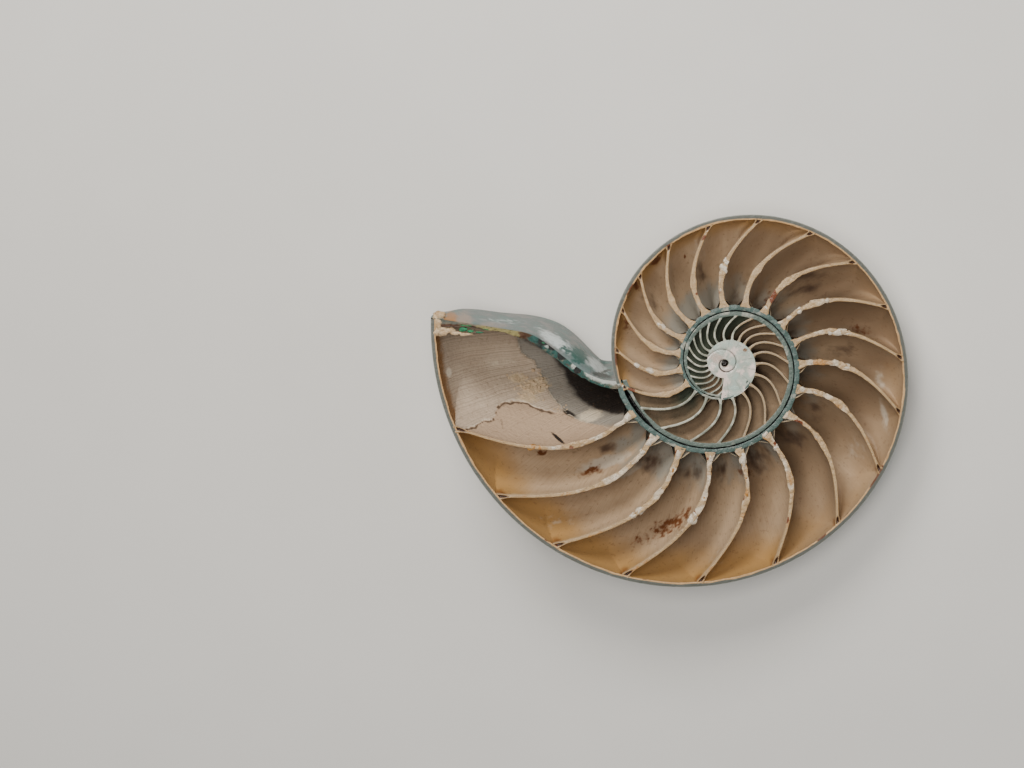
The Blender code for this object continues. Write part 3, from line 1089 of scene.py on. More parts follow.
@dataclass
class Septa:
    """The sawn edges of the septa, in the outer whorl and in the coil."""

    spiral: Spiral
    view: View
    rows: int = 190
    columns: int = 11
    coil_rows: int = 56
    coil_columns: int = 5

    def edge(self, base: float, coil: bool) -> tuple[Array, dict[str, Array]]:
        """Points and masks of one septum's sawn edge.

        Args:
            base: where the septum stands.
            coil: whether it is one of the inner coil's.

        Returns:
            The points and the masks by name.
        """
        rows, columns = (self.coil_rows, self.coil_columns) if coil else (self.rows, self.columns)
        v, s = np.meshgrid(np.linspace(-0.015, 1.015, rows), np.linspace(-1.0, 1.0, columns),
                           indexing="ij")
        extra = 0.25 * flare(v) if coil else rag(base, v, np.sign(s)) + flare(v)
        zero = np.zeros_like(v)
        growth = self.spiral.septum(base, v, zero, s, coil, extra)
        low, _, high, _ = self.spiral.ends(growth, zero, coil)
        points = self.spiral.place(low + (high - low) * v, growth, zero)
        if coil:
            points[..., 2] = 0.00003 + 0.00004 * rumple(points, 0.0009, 5) - 0.00008 * s ** 4
            return points, {"white": ease(0.4 + rumple(points, 0.002, 6)),
                            "warm": ease((points[..., 0] + 0.001) / 0.012)}
        rough = 0.2 + 0.8 * ease((0.74 - v) / 0.2) * worn_share(base)
        lift = 0.00022 * rumple(points, 0.0017, 7) + 0.00014 * rumple(points, 0.0007, 8)
        pit = np.exp(-((v - 0.985) / 0.022) ** 2) * np.exp(-(s / 0.5) ** 4)
        points[..., 2] = rough * lift + 0.0001 * (1.0 - s ** 4) - 0.0009 * pit
        pixels = self.view.cut_pixels(points)
        worn = rumple(points + base * 0.001, 0.004, 9)
        return points, {
            "white": (0.05 + 0.45 * ease((0.7 - v) / 0.3) * worn_share(base)) * ease(
                0.35 + rumple(points, 0.003, 19)),
            "border": 0.5 * np.abs(s) ** 4 + 0.25 * ease((v - 0.6) / 0.3),
            "amber": 0.4 * worn_share(base) * ease((rumple(points, 0.004, 10) - 0.5) / 0.3),
            "pit": np.maximum(pit, 0.7 * np.exp(-((v - 0.97) / 0.02) ** 2) * (1.0 - s ** 2)),
            "stain": np.maximum(0.3 * spotted(pixels, STAINS), 0.7 * ease((worn - 0.55) / 0.2))}

    def rails(self) -> Array:
        """Middle lines of the outer whorl's sawn septa."""
        return np.concatenate([self.edge(base, False)[0][:, self.columns // 2]
                               for base in self.spiral.bases])

    def build(self, seat: Seat, edge: bpy.types.Material,
              coil_edge: bpy.types.Material) -> list[bpy.types.Object]:
        """Make the edges of the outer whorl and those of the coil.

        Args:
            seat: how the half lies.
            edge: finish of the outer ones.
            coil_edge: finish of the coil's.

        Returns:
            The two objects.
        """
        outer, inner = Relief("septum_edges"), Relief("coil_septum_edges")
        for base in self.spiral.bases:
            points, masks = self.edge(base, False)
            outer.add(points, **masks)
        for base in self.spiral.coil_bases[1:]:
            points, masks = self.edge(base, True)
            inner.add(points, **masks)
        return [outer.build(seat, edge), inner.build(seat, coil_edge)]


@dataclass
class Chambers:
    """The hollows behind the body chamber, in the outer whorl and in the coil."""

    spiral: Spiral
    view: View
    counts: tuple[int, int, int] = (58, 34, 34)
    coil_counts: tuple[int, int, int] = (22, 16, 12)
    deepest: float = 108.0
    coil_deepest: float = 85.0
    least: float = 0.34

    def face(self, base: float, side: Side, coil: bool) -> Face:
        """Growth of one face of a septum, as a function of across and tau.

        Args:
            base: where the septum stands.
            side: which face.
            coil: whether it is one of the inner coil's.

        Returns:
            The function.
        """
        def found(across: Array, tau: Array) -> Array:
            """Growth at each place.

            Args:
                across: 0 at the ring and 1 at the outer wall.
                tau: degrees down the section, from the cut.

            Returns:
                Degrees along the spiral.
            """
            fade = np.exp(-tau / 7.0)
            sign = side.value
            extra = 0.25 * flare(across) if coil else rag(base, across, sign) + flare(across)
            return self.spiral.septum(base, across, tau, sign, coil, extra * fade)
        return found

    def build(self, seat: Seat, lining: bpy.types.Material, side: bpy.types.Material,
              coil_lining: bpy.types.Material) -> list[bpy.types.Object]:
        """Make the chambers' floors, the septa's faces and the coil's chambers.

        Args:
            seat: how the half lies.
            lining: finish of the floors.
            side: finish of the faces.
            coil_lining: finish in the coil.

        Returns:
            The three objects.
        """
        floors, faces, coil = map(Relief, ("chamber_floors", "septum_faces", "coil_chambers"))
        for index, (first, last) in enumerate(zip(self.spiral.bases, self.spiral.bases[1:])):
            hollow = Cavity(self.spiral, self.face(first, Side.COREWARD, False),
                            self.face(last, Side.LIPWARD, False), self.least * (last - first),
                            self.deepest, False)
            for name, (points, growth, tau) in hollow.walls(self.counts).items():
                self._dress(floors, faces, name, points, growth, tau, first, last,
                            CHAMBER_TONES[index])
        bases = self.spiral.coil_bases
        for first, last in zip(bases, bases[1:]):
            hollow = Cavity(self.spiral, self.face(first, Side.COREWARD, True),
                            self.face(last, Side.LIPWARD, True), self.least * (last - first),
                            self.coil_deepest, True, 0.12)
            for name, (points, _, tau) in hollow.walls(self.coil_counts).items():
                reach = np.hypot(points[..., 0], points[..., 1])
                left = ease((0.3 * reach - points[..., 0] + 0.6 * points[..., 1]) / 0.012)
                near = ease((0.027 - reach) / 0.012)
                # painted rim light, lighter near the cut
                coil.add(points, flip=name in ("outer", "lipward", "deep"),
                         olive=0.25 * left + 0.6 * left * near,
                         rim=np.exp(-tau / 5.0) * 0.6, shade=ease((tau - 40.0) / 40.0) * 0.5)
        return [floors.build(seat, lining), faces.build(seat, side), coil.build(seat, coil_lining)]

    def _dress(self, floors: Relief, faces: Relief, name: str, points: Array, growth: Array,
               tau: Array, first: float, last: float, tone: float) -> None:
        """Add one wall of a chamber with its masks.

        Args:
            floors: mesh that takes floors.
            faces: mesh that takes septum faces.
            name: which wall.
            points: places in the sawn face's frame.
            growth: degrees along the spiral.
            tau: degrees down the section, from the cut.
            first: growth of the lipward septum.
            last: growth of the coreward one.
            tone: how dark this chamber is.
        """
        pixels = self.view.pixels(points)
        reach = np.hypot(points[..., 0], points[..., 1]) / self.spiral.radius(growth)
        near_cut = np.exp(-tau / 14.0)
        right = ease((pixels[..., 0] - 770.0) / 80.0)
        corner = np.minimum(growth - first, last - growth)
        masks = {
            "growth": growth, "tone": tone + 0.2 * rumple(points, 0.02, 11),
            # painted highlight spots on the linings
            "stain": spotted(pixels, STAINS), "gleam": spotted(pixels, PAINTED_HIGHLIGHTS),
            "shade": spotted(pixels, SHADES) + 0.35 * ease((tau - 70.0) / 38.0),
            # wall: painted amber glow of light through the thin outer wall
            "wall": (0.7 - 0.35 * right) * ease((reach - 0.76) / 0.22) * (1.0 - 0.8 * tone),
            # corner: painted shade in the corners by the outer wall
            "corner": 0.9 * ease((2.4 - corner) / 2.4) * ease((reach - 0.93) / 0.05) * near_cut,
            "ringside": 0.85 * ease((0.68 - reach) / 0.26) * (1.0 - tone) * ease(
                0.7 + 0.6 * rumple(points, 0.007, 52))}
        if name in ("lipward", "coreward"):
            # painted rim light: the face is lighter near the cut
            faces.add(points, flip=name == "lipward", rim=0.7 * np.exp(-tau / 3.0), **masks)
        else:
            floors.add(points, flip=name in ("outer", "deep"), **masks)


@dataclass
class Walls:
    """The outer wall: its polished outside and its sawn edge."""

    spiral: Spiral
    columns: int = 400
    rows: int = 56
    edge_columns: int = 1500
    edge_start: float = 0.2
    edge_end: float = 382.0

    def outside(self) -> Relief:
        """The polished outside, down to the umbilicus.

        Returns:
            Its grid.
        """
        piece = Relief("outside_wall")
        growth = np.linspace(0.0, 360.0 + self.spiral.roof_arrival, self.columns)[:, None]
        tau = np.linspace(0.0, LAST_TAU, self.rows)[None, :]
        share, _ = self.spiral.section(tau)
        radius = self.spiral.radius(growth)
        fade = np.maximum(0.0, 1.0 - growth / self.spiral.roof_fade)
        turn = growth + self.spiral.roof_turn(share) * fade
        points = self.spiral.place(radius * share, turn, -self.spiral.flank_depth(radius, tau))
        last_turn = turn[:, -1:]
        for reach in (self.spiral.centre_radius, 0.0):
            ring = self.spiral.place(np.full_like(last_turn, reach), last_turn,
                                     np.full_like(last_turn, -self.spiral.centre_depth))
            points = np.concatenate([points, ring], axis=1)
        ripple = 0.00006 * rumple(points, 0.006, 12)
        fadeout = ease(np.arange(points.shape[1]) / 6.0)[None, :]
        points[..., 2] -= ripple * fadeout
        piece.add(points, flip=True, growth=np.broadcast_to(growth, points.shape[:2]))
        return piece

    def edge(self) -> Relief:
        """The sawn edge of the outer wall, in its two layers.

        Returns:
            Its grid.
        """
        piece = Relief("wall_edge")
        growth = np.linspace(self.edge_start, self.edge_end, self.edge_columns)[:, None]
        share = np.array([0.0, 0.06, 0.25, 0.42, 0.5, 0.58, 0.8, 0.94, 1.0])[None, :]
        radius = self.spiral.radius(growth)
        flat = self.spiral.place(radius, growth, 0.0)
        ragged = UNIT * (0.35 * rumple(flat, 0.003, 13) + 0.2 * rumple(flat, 0.0009, 14))
        reach = radius - share * self.spiral.outer_wall - ragged * ease(share * 1.4 - 0.4)
        points = self.spiral.place(reach, growth, np.zeros_like(reach))
        rounded = np.abs(2.0 * share - 1.0) ** 6
        points[..., 2] = 0.00005 * rumple(points, 0.0011, 15) - 0.0001 * rounded + 0.00003
        line = 0.70 + 0.1 * rumple(points, 0.005, 16)
        piece.add(points, layer=ease((line - share) / 0.12), skin=ease((0.12 - share) / 0.1),
                  stain=ease((rumple(points, 0.007, 17) - 0.55) / 0.2) * ease(share * 3.0 - 1.6))
        return piece

    def build(self, seat: Seat, outside: bpy.types.Material,
              edge: bpy.types.Material) -> list[bpy.types.Object]:
        """Make the outside and the edge."""
        return [self.outside().build(seat, outside), self.edge().build(seat, edge)]


@dataclass
class Ring:
    """The spiral ring round the coil: its sawn layers, with a dark gap between them."""

    spiral: Spiral
    start: float = RING_START
    end: float = 870.0
    columns: int = 1500
    gap_px: float = 1.3
    gap_depth: float = 0.0016
    wedge_px: float = 4.2
    wedge_depth: float = 0.006

    def build(self, seat: Seat, edge: bpy.types.Material) -> bpy.types.Object:
        """Make the ring's sawn edge.

        Args:
            seat: how the half lies.
            edge: its finish.

        Returns:
            The object.
        """
        growth = np.linspace(self.start, self.end, self.columns)[:, None]
        radius = self.spiral.radius(growth)
        inset, wall = self.spiral.coil_layers(growth)
        wedge = self.wedge_px * ease((growth - self.start) / 12.0) * ease((414.0 - growth) / 14.0)
        half = 0.5 * self.gap_px * (0.55 + 0.45 * ease((760.0 - growth) / 200.0))
        flat = self.spiral.place(radius, growth, 0.0)
        ragged = UNIT * (0.5 * rumple(flat, 0.0026, 21) + 0.3 * rumple(flat, 0.001, 22))
        gap_out = inset - UNIT * (half + 0.25 * wedge) + 0.5 * ragged
        gap_in = inset + UNIT * (half + 0.55 * wedge) - 0.4 * ragged
        drop = self.gap_depth + (self.wedge_depth - self.gap_depth) * wedge / self.wedge_px
        start = -0.35 * UNIT * wedge + ragged
        end = inset + wall - 0.6 * ragged + 0.1 * UNIT * wedge
        stops, drops, dark, inner = [], [], [], []
        for step in (0.0, 0.08, 0.3, 0.6, 0.85, 0.97):
            stops.append(start + (gap_out - start) * step)
            drops.append(0.00009 * abs(2.0 * step - 1.0) ** 5 + 0.0 * drop)
            dark.append(0.0), inner.append(0.0)
        for share, deep in ((0.0, 0.0), (0.02, 0.25), (0.06, 1.0), (0.94, 1.0), (0.98, 0.25),
                            (1.0, 0.0)):
            stops.append(gap_out + (gap_in - gap_out) * share)
            drops.append(0.0001 + drop * deep)
            dark.append(1.0), inner.append(0.0)
        for step in (0.03, 0.2, 0.5, 0.8, 0.93, 1.0):
            stops.append(gap_in + (end - gap_in) * step)
            drops.append(0.00009 * abs(2.0 * step - 1.0) ** 5 + 0.0 * drop)
            dark.append(0.0), inner.append(1.0)
        reach = radius - np.concatenate(stops, axis=1)
        points = self.spiral.place(reach, growth, -np.concatenate(drops, axis=1))
        dark_mask = np.array(dark)[None, :] * np.ones_like(reach)
        bumpy = 0.00009 * rumple(points, 0.0013, 23) + 0.00005 * rumple(points, 0.0006, 24)
        points[..., 2] += bumpy * (1.0 - dark_mask) + 0.00002
        piece = Relief("ring_edge")
        piece.add(points, gap=dark_mask, inner=np.array(inner)[None, :] * np.ones_like(reach),
                  white=0.5 * ease((rumple(points, 0.003, 25) - 0.35) / 0.4))
        return piece.build(seat, edge)


@dataclass
class Core:
    """The pearly plug in the middle of the coil, with its small hole."""

    spiral: Spiral
    view: View
    first: float = 812.0
    columns: int = 250
    rows: int = 50
    hole_at: tuple[float, float] = (725.0, 364.0)
    hole_px: float = 3.2
    hole_depth: float = 0.003
    line_px: float = 3.0
    line_rate: float = 0.0035
    line_turns: int = 3
    seam_deg: float = 24.0

    def build(self, seat: Seat, finish: bpy.types.Material) -> bpy.types.Object:
        """Make the plug.

        Args:
            seat: how the half lies.
            finish: its material.

        Returns:
            The object.
        """
        growth = np.linspace(self.first, self.first + 360.0, self.columns)[:, None]
        share = np.linspace(0.0, 1.0, self.rows)[None, :] ** 0.8
        centre = self.view.on_face(*self.hole_at)
        radius = self.spiral.radius(growth) * share
        points = self.spiral.place(radius, growth, np.zeros_like(radius))
        dx, dy = points[..., 0] - centre[0], points[..., 1] - centre[1]
        away = np.hypot(dx, dy) / UNIT
        angle = np.degrees(np.arctan2(dy, dx)) % 360.0
        line = np.zeros_like(away)
        for turn in range(self.line_turns):
            spiral = self.line_px * np.exp(self.line_rate * (angle + 360.0 * turn))
            line = np.maximum(line, np.exp(-((away - spiral) / (0.7 + 0.03 * spiral)) ** 2)
                              * np.clip(1.25 - (angle + 360.0 * turn) / 620.0, 0.12, 1.0))
        hole = ease((self.hole_px + 0.8 - away) / 1.6)
        dome = 0.0002 * np.cos(np.minimum(away / 36.0, 1.0) * math.pi * 0.5)
        points[..., 2] = (dome + 0.00006 * rumple(points, 0.0016, 26) - 0.00025 * line
                          - self.hole_depth * hole)
        pixels = self.view.pixels(points)
        seam = (growth - self.first) % self.seam_deg - 0.5 * self.seam_deg
        piece = Relief("core_plug")
        piece.add(points, flip=False, dark=np.maximum(0.75 * line, hole),
                  pink=spotted(pixels, (Spot(717, 358, 7, 9, 70, 0.4),
                                        Spot(722, 380, 5, 8, 0, 0.25))),
                  stain=spotted(pixels, (Spot(745, 350, 2.4, 2.0, 0, 0.8),)),
                  seam=0.4 * np.exp(-(seam / 2.2) ** 2) * ease((away - 12.0) / 8.0))
        return piece.build(seat, finish)


@dataclass
class Roof:
    """The curved upper wall of the body chamber: outside, sawn edge and underside."""

    spiral: Spiral
    view: View
    rows: int = 230
    columns: int = 90
    cut_rows: int = 420
    cut_columns: int = 17
    swell_px: tuple[tuple[float, float], ...] = (
        (100.0, -16.0), (112.0, -9.0), (124.0, 5.0), (139.0, 17.0), (154.0, 18.0), (169.0, 13.0),
        (185.0, 5.0), (205.0, 1.0), (225.0, 1.0), (250.0, 4.0), (277.0, 7.0), (288.0, 5.0),
        (293.0, 2.0))
    wall_share: tuple[tuple[float, float], ...] = (
        (100.0, 1.0), (185.0, 1.0), (205.0, 0.75), (222.0, 0.45), (262.0, 0.45), (280.0, 0.9),
        (292.0, 1.0))

    def wall(self, radius: Array) -> Array:
        """Thickness of the wall at a radius."""
        reach, share = zip(*self.wall_share)
        return self.spiral.roof_wall * np.interp(radius / UNIT, reach, share)

    def swell(self, radius: Array, tau: Array) -> Array:
        """How far the wall stands out over its straight run, in metres.

        Args:
            radius: distance from the spiral's centre.
            tau: degrees down the section, from the cut.

        Returns:
            Metres toward the outside.
        """
        reach, amount = zip(*self.swell_px)
        arch = np.sin(math.pi * np.clip(tau / LAST_TAU, 0.0, 1.0)) ** 0.45
        near, far = self.spiral.radius(360.0 + self.spiral.roof_arrival), self.spiral.radius(0.0)
        place = (radius / self.spiral.section(tau)[0] - near) / (far - near)
        arch = arch * ease(place / 0.12) * ease((1.0 - place) / 0.08)
        steps = np.linspace(-12.0, 12.0, 9)
        found = sum(np.interp(radius / UNIT + step, reach, amount) for step in steps) / len(steps)
        found = np.where(found < 0.0, found * ease((70.0 - tau) / 40.0), found)
        return UNIT * found * arch * ease((112.0 - tau) / 20.0)

    def outer(self, share: Array, tau: Array) -> Array:
        """Points of the outside, from the coil (0) to the lip (1).

        Args:
            share: 0 to 1 along the wall.
            tau: degrees down the section, from the cut.

        Returns:
            The points.
        """
        part, _ = self.spiral.section(tau)
        inner = self.spiral.radius(360.0 + self.spiral.roof_arrival)
        outer = self.spiral.radius(0.0)
        radius = (inner + (outer - inner) * share) * part
        depth = (self.spiral.flank_depth(inner + 0.0 * tau, tau) * (1.0 - share)
                 + self.spiral.flank_depth(outer + 0.0 * tau, tau) * share)
        growth = self.spiral.roof_turn(radius / self.spiral.lip_radius)
        growth = growth - np.degrees(self.swell(radius, tau) / np.maximum(radius, 0.004))
        return self.spiral.place(radius, growth, -depth)

    def front(self, across: Array, tau: Array) -> Array:
        """Growth of the underside.

        Args:
            across: 0 at the ring and 1 at the outer wall.
            tau: degrees down the section, from the cut.

        Returns:
            Degrees along the spiral.
        """
        low, _, high, _ = self.spiral.ends(np.full_like(tau, self.spiral.roof_corner), tau, False)
        radius = low + (high - low) * across
        growth = self.spiral.roof_turn(radius / self.spiral.lip_radius)
        rise = self.wall(radius) - self.swell(radius, tau)
        return growth + np.degrees(rise / radius)

    def build(self, seat: Seat, nacre: bpy.types.Material,
              edge: bpy.types.Material) -> list[bpy.types.Object]:
        """Make the outside and the sawn edge.

        Args:
            seat: how the half lies.
            nacre: finish of the outside.
            edge: finish of the cut.

        Returns:
            The two objects.
        """
        share = np.linspace(0.0, 1.0, self.rows)[:, None]
        tau = (LAST_TAU * np.linspace(0.0, 1.0, self.columns) ** 1.3)[None, :]
        points = self.outer(share, tau + 0.0 * share)
        crinkle = spotted(self.view.pixels(points), (
            Spot(598, 366, 17, 11, -30), Spot(566, 350, 14, 8, -30, 0.4)))
        drawn = points * np.array([1.0, 1.0, 0.35])
        points[..., 1] += crinkle * (0.00028 * rumple(drawn, 0.0016, 31))
        pixels = self.view.pixels(points)
        skin = Relief("roof_outside")
        skin.add(points, flip=False, growth=share * 60.0 + 0.0 * tau,
                 # white: painted highlight on the middle of the band, white crinkled nacre near
                 # its end
                 white=spotted(pixels, (Spot(556, 341, 22, 6, -34, 0.6),
                                        Spot(597, 366, 14, 6, -42, 0.6),
                                        Spot(505, 321, 26, 3, -4, 0.25))),
                 teal=spotted(pixels, (Spot(579, 356, 9, 7, -40, 0.85),
                                       Spot(566, 350, 7, 4, -40, 0.6),
                                       Spot(604, 378, 6, 3, 0, 0.4))),
                 amber=spotted(pixels, (Spot(451, 319, 8, 9, 0, 0.7),)),
                 pink=spotted(pixels, (Spot(464, 319, 10, 9, 0, 0.6),
                                       Spot(490, 326, 18, 4, 0, 0.4))),
                 dark=spotted(pixels, (Spot(601, 375, 10, 2.2, -12, 0.9),
                                       Spot(606, 371, 6, 1.6, 20, 0.6))))
        cut = Relief("roof_edge")
        edge_points, masks = self._cut()
        cut.add(edge_points, **masks)
        return [skin.build(seat, nacre), cut.build(seat, edge)]

    def _cut(self) -> tuple[Array, dict[str, Array]]:
        """Points and masks of the sawn edge.

        Returns:
            The points and the masks by name.
        """
        reach = np.linspace(self.spiral.radius(RING_START) - 4.0 * UNIT, self.spiral.lip_radius,
                            self.cut_rows)[:, None]
        share = np.linspace(0.0, 1.0, self.cut_columns)[None, :]
        growth = self.spiral.roof_turn(reach / self.spiral.lip_radius)
        flat = self.spiral.place(reach, growth, 0.0)
        ragged = UNIT * (1.1 * rumple(flat, 0.0042, 32) + 0.7 * rumple(flat, 0.0014, 33))
        wide = self.wall(reach) + ragged
        growth = growth + np.degrees(share * wide / reach)
        points = self.spiral.place(reach + 0.0 * share, growth, np.zeros_like(growth))
        lump = 0.00028 * rumple(points, 0.0022, 34) + 0.0002 * rumple(points, 0.0009, 35)
        fringe = np.sin(math.pi * share) ** 0.4
        points[..., 2] = lump * fringe + 0.00012 * fringe - 0.0001
        pixels = self.view.pixels(points)
        x = pixels[..., 0]
        return points, {
            "green": spotted(pixels, (Spot(465, 329, 7, 4), Spot(482, 331, 7, 2.4, 0, 0.8),
                                      Spot(457, 332, 4, 3, 0, 0.6))),
            "teal": np.maximum(spotted(pixels, (Spot(535, 339, 7, 4),
                                                Spot(566, 356, 7, 4, -40, 0.8))),
                               0.55 * window(x, 540.0, 606.0, 14.0)),
            "yellow": 0.75 * window(x, 486.0, 512.0, 14.0),
            "brown": np.maximum(0.8 * window(x, 512.0, 534.0, 8.0),
                                ease(share * 2.0 - 0.7) * window(x, 445.0, 500.0, 8.0)),
            "white": np.maximum(window(x, 590.0, 620.0, 10.0) * ease(0.9 - share), spotted(
                pixels, (Spot(548, 345, 5, 3, -30), Spot(575, 366, 4, 3)))),
            "dark": ease((rumple(points, 0.0028, 36) - 0.1) / 0.4) * window(x, 545.0, 600.0, 12.0)}


@dataclass
class BodyChamber:
    """The open body chamber: its worn lining, its first septum's face and its roof's underside."""

    spiral: Spiral
    view: View
    roof: Roof
    chambers: Chambers
    least: float = 3.0
    deepest: float = 106.0
    counts: tuple[int, int, int] = (150, 170, 170)
    sheet: float = 0.0008
    sheet_drop: float = 0.0005
    ground: Array = field(default_factory=lambda: np.zeros((0, 3)))
    flake_edge: tuple[tuple[float, float], ...] = (
        (340, 517), (352, 522), (360, 533), (368, 537), (372, 541), (368.5, 543), (380, 542),
        (390, 546),
        (398, 552), (406, 560), (413, 568), (418, 575), (422, 585), (426, 604), (440, 640))
    smooth_edge: tuple[tuple[float, float], ...] = (
        (430, 466), (427, 475), (421, 483), (419, 492), (415, 495), (407, 497), (403, 503),
        (400, 515),
        (404, 528), (409, 540), (414, 560))
    # Edge of the painted shade in the hollow under the roof, in pixels.
    painted_shade_edge: tuple[tuple[float, float], ...] = (
        (345, 536), (355, 548), (365, 556), (375, 561), (385, 566), (395, 572), (405, 584),
        (415, 606))

    def peeled(self, pixels: Array, points: Array) -> Array:
        """Where the upper sheet of the lining has flaked away, from 0 to 1.

        Args:
            pixels: places on the photograph.
            points: places in the sawn face's frame.

        Returns:
            One value for each place.
        """
        rows = sorted(self.flake_edge)
        line = np.interp(pixels[..., 1], [y for y, _ in rows], [x for _, x in rows])
        line = line + 1.6 * rumple(points, 0.0014, 41) + 2.2 * rumple(points, 0.0036, 42)
        return ease((pixels[..., 0] - line) / 2.2 + 0.5)

    def lowered(self, pixels: Array, points: Array) -> Array:
        """Pixels below the line where the lining's smoother lower sheet starts.

        Args:
            pixels: places on the photograph.
            points: places in the sawn face's frame.

        Returns:
            One value for each place.
        """
        line = np.interp(pixels[..., 0], [x for _, x in self.smooth_edge],
                         [y for y, _ in self.smooth_edge])
        line = line + 1.5 * rumple(points, 0.0016, 45) + 2.0 * rumple(points, 0.004, 46)
        return pixels[..., 1] - line

    def masks(self, points: Array, growth: Array, name: str) -> dict[str, Array]:
        """Masks of one wall of the body chamber.

        Args:
            points: places in the sawn face's frame.
            growth: degrees along the spiral.
            name: which wall.

        Returns:
            The masks by name.
        """
        pixels = self.view.pixels(points)
        x, y = pixels[..., 0], pixels[..., 1]
        peeled = self.peeled(pixels, points)
        below = self.lowered(pixels, points)
        lower, ends = ease(below / 2.6 + 0.5), window(x, 462.0, 548.0, 12.0)
        hollow = np.interp(y, *zip(*self.painted_shade_edge))
        reach = np.hypot(points[..., 0], points[..., 1]) / self.spiral.radius(growth)
        return {
            "growth": growth, "smooth": np.maximum(lower, 0.4 * peeled),
            "grey": 0.75 * peeled * ease((436.0 - y) / 20.0),
            # wall: painted brown glow along the outer wall
            "wall": ease((reach - 0.95) / 0.04) * (0.8 if name == "outer" else 0.0),
            # dark: painted shade under the roof and along its edge
            "dark": np.maximum(
                0.9 * ease((x - hollow + 8.0) / 26.0) * ease((420.0 - y) / 14.0), spotted(
                    pixels, (Spot(569, 413, 8, 2.5, -25, 0.7), Spot(540, 344, 24, 5, -22, 0.5)))),
            "crumb": spotted(pixels, (Spot(535, 386, 14, 8, 20, 1.0), Spot(518, 378, 9, 5, 0, 0.8),
                                      Spot(528, 398, 12, 5, 0, 0.7))),
            # pale flaked edges, with a painted highlight along the top of the lower sheet's step
            "flake": 2.2 * peeled * (1.0 - peeled) + 0.4 * ends * np.exp(
                -((below + 1.0) / 1.2) ** 2) + spotted(pixels, (Spot(449, 372, 3, 5, 0, 0.8),)),
            "shadow": 0.7 * ends * np.exp(-((below - 1.4) / 1.2) ** 2) + spotted(
                pixels, (Spot(502, 424, 1.5, 12, 12, 0.35), Spot(512, 420, 1.2, 12, 10, 0.25))),
            "cream": spotted(pixels, (Spot(590, 416, 12, 6, 10, 0.9),
                                      Spot(500, 362, 22, 5, 0, 0.3))),
            "crack": spotted(pixels, (Spot(558, 438, 9, 1.5, -42, 1.0),))}

    def build(self, seat: Seat, lining: bpy.types.Material,
              under: bpy.types.Material) -> list[bpy.types.Object]:
        """Make the lining, the first septum's face and the roof's underside.

        Args:
            seat: how the half lies.
            lining: finish of lining and face.
            under: finish of the underside.

        Returns:
            The three objects.
        """
        back = self.chambers.face(self.spiral.bases[0], Side.LIPWARD, False)
        hollow = Cavity(self.spiral, self.roof.front, back, self.least, self.deepest, False, 0.06,
                        (0.05, 0.9), 0.3)
        floor, first, roof = map(Relief, ("body_lining", "first_septum_face", "roof_underside"))
        for name, (points, growth, tau) in hollow.walls(self.counts).items():
            masks = self.masks(points, growth, name)
            if name == "lipward":
                # the underside's dark mask is painted shade, deeper in
                roof.add(points, flip=True, growth=growth, dark=ease((tau - 10.0) / 60.0) * 0.8)
                continue
            pixels = self.view.pixels(points)
            thick = self.sheet * (1.0 - self.peeled(pixels, points)) - self.sheet_drop * ease(
                self.lowered(pixels, points) / 2.6 + 0.5) * ease((575.0 - pixels[..., 0]) / 40.0)
            thick = thick + 0.0008 * masks["crumb"] * np.maximum(rumple(points, 0.0014, 44), -0.2)
            thick = thick + 0.00012 * rumple(np.stack([growth * 0.001] * 3, -1), 0.0011, 47)
            keep = ease(tau / 10.0)
            points[..., 2] += thick * keep
            if name == "coreward":
                first.add(points, flip=False, **masks)
                continue
            floor.add(points, flip=name in ("outer", "deep"), **masks)
        self.ground = np.concatenate([grid.reshape(-1, 3)[::3] for grid, _, _, _ in
                                      floor.grids + first.grids])
        return [floor.build(seat, lining), first.build(seat, lining), roof.build(seat, under)]


@dataclass(frozen=True)
class Crumb:
    """A loose or grown lump, placed by its pixel of the photograph."""

    x: float
    y: float
    wide: float
    high: float
    turn_deg: float = 0.0
    sink: float = 0.35


@dataclass
class Crumbs:
    """Lumps of one finish that sit on the sawn face."""

    name: str
    lumps: tuple[Crumb, ...]
    view: View
    rough: float = 0.3
    rails: Array | None = None
    pull_px: float = 12.0
    ground: Array | None = None

    def seat_of(self, lump: Crumb) -> Array:
        """Where a lump sits: on the nearest sawn septum, if one is near.

        Args:
            lump: the lump.

        Returns:
            Its middle.
        """
        if self.ground is not None:
            away = np.linalg.norm(self.view.pixels(self.ground) - (lump.x, lump.y), axis=1)
            return self.ground[away.argmin()]
        spot = self.view.on_cut(lump.x, lump.y)
        if self.rails is not None:
            away = np.linalg.norm(self.rails - spot, axis=1)
            if away.min() < self.pull_px * UNIT:
                spot = self.rails[away.argmin()].copy()
        spot[2] = -lump.sink * UNIT * min(lump.wide, lump.high)
        return spot

    def build(self, seat: Seat, finish: bpy.types.Material) -> bpy.types.Object:
        """Make the lumps as one piece.

        Args:
            seat: how the half lies.
            finish: their material.

        Returns:
            The object.
        """
        piece = Relief(self.name)
        turn, rise = np.meshgrid(np.linspace(0.0, 2.0 * math.pi, 19)[:-1],
                                 np.linspace(-0.5 * math.pi, 0.5 * math.pi, 12), indexing="ij")
        ball = np.stack([np.cos(turn) * np.cos(rise), np.sin(turn) * np.cos(rise),
                         np.sin(rise)], -1)
        for index, lump in enumerate(self.lumps):
            offset = np.array([0.37, 0.71, 0.13]) * (index + 1)
            form = 1.0 + self.rough * rumple(ball + offset, 0.8, 51) + 0.5 * self.rough * rumple(
                ball + offset, 0.35, 52)
            body = ball * form[..., None] * UNIT * np.array(
                [lump.wide, lump.high, 0.55 * min(lump.wide, lump.high)])
            angle = math.radians(lump.turn_deg)
            spin = np.array([[math.cos(angle), -math.sin(angle), 0.0],
                             [math.sin(angle), math.cos(angle), 0.0], [0.0, 0.0, 1.0]])
            piece.add(body @ spin.T + self.seat_of(lump), wrap=True)
        return piece.build(seat, finish)


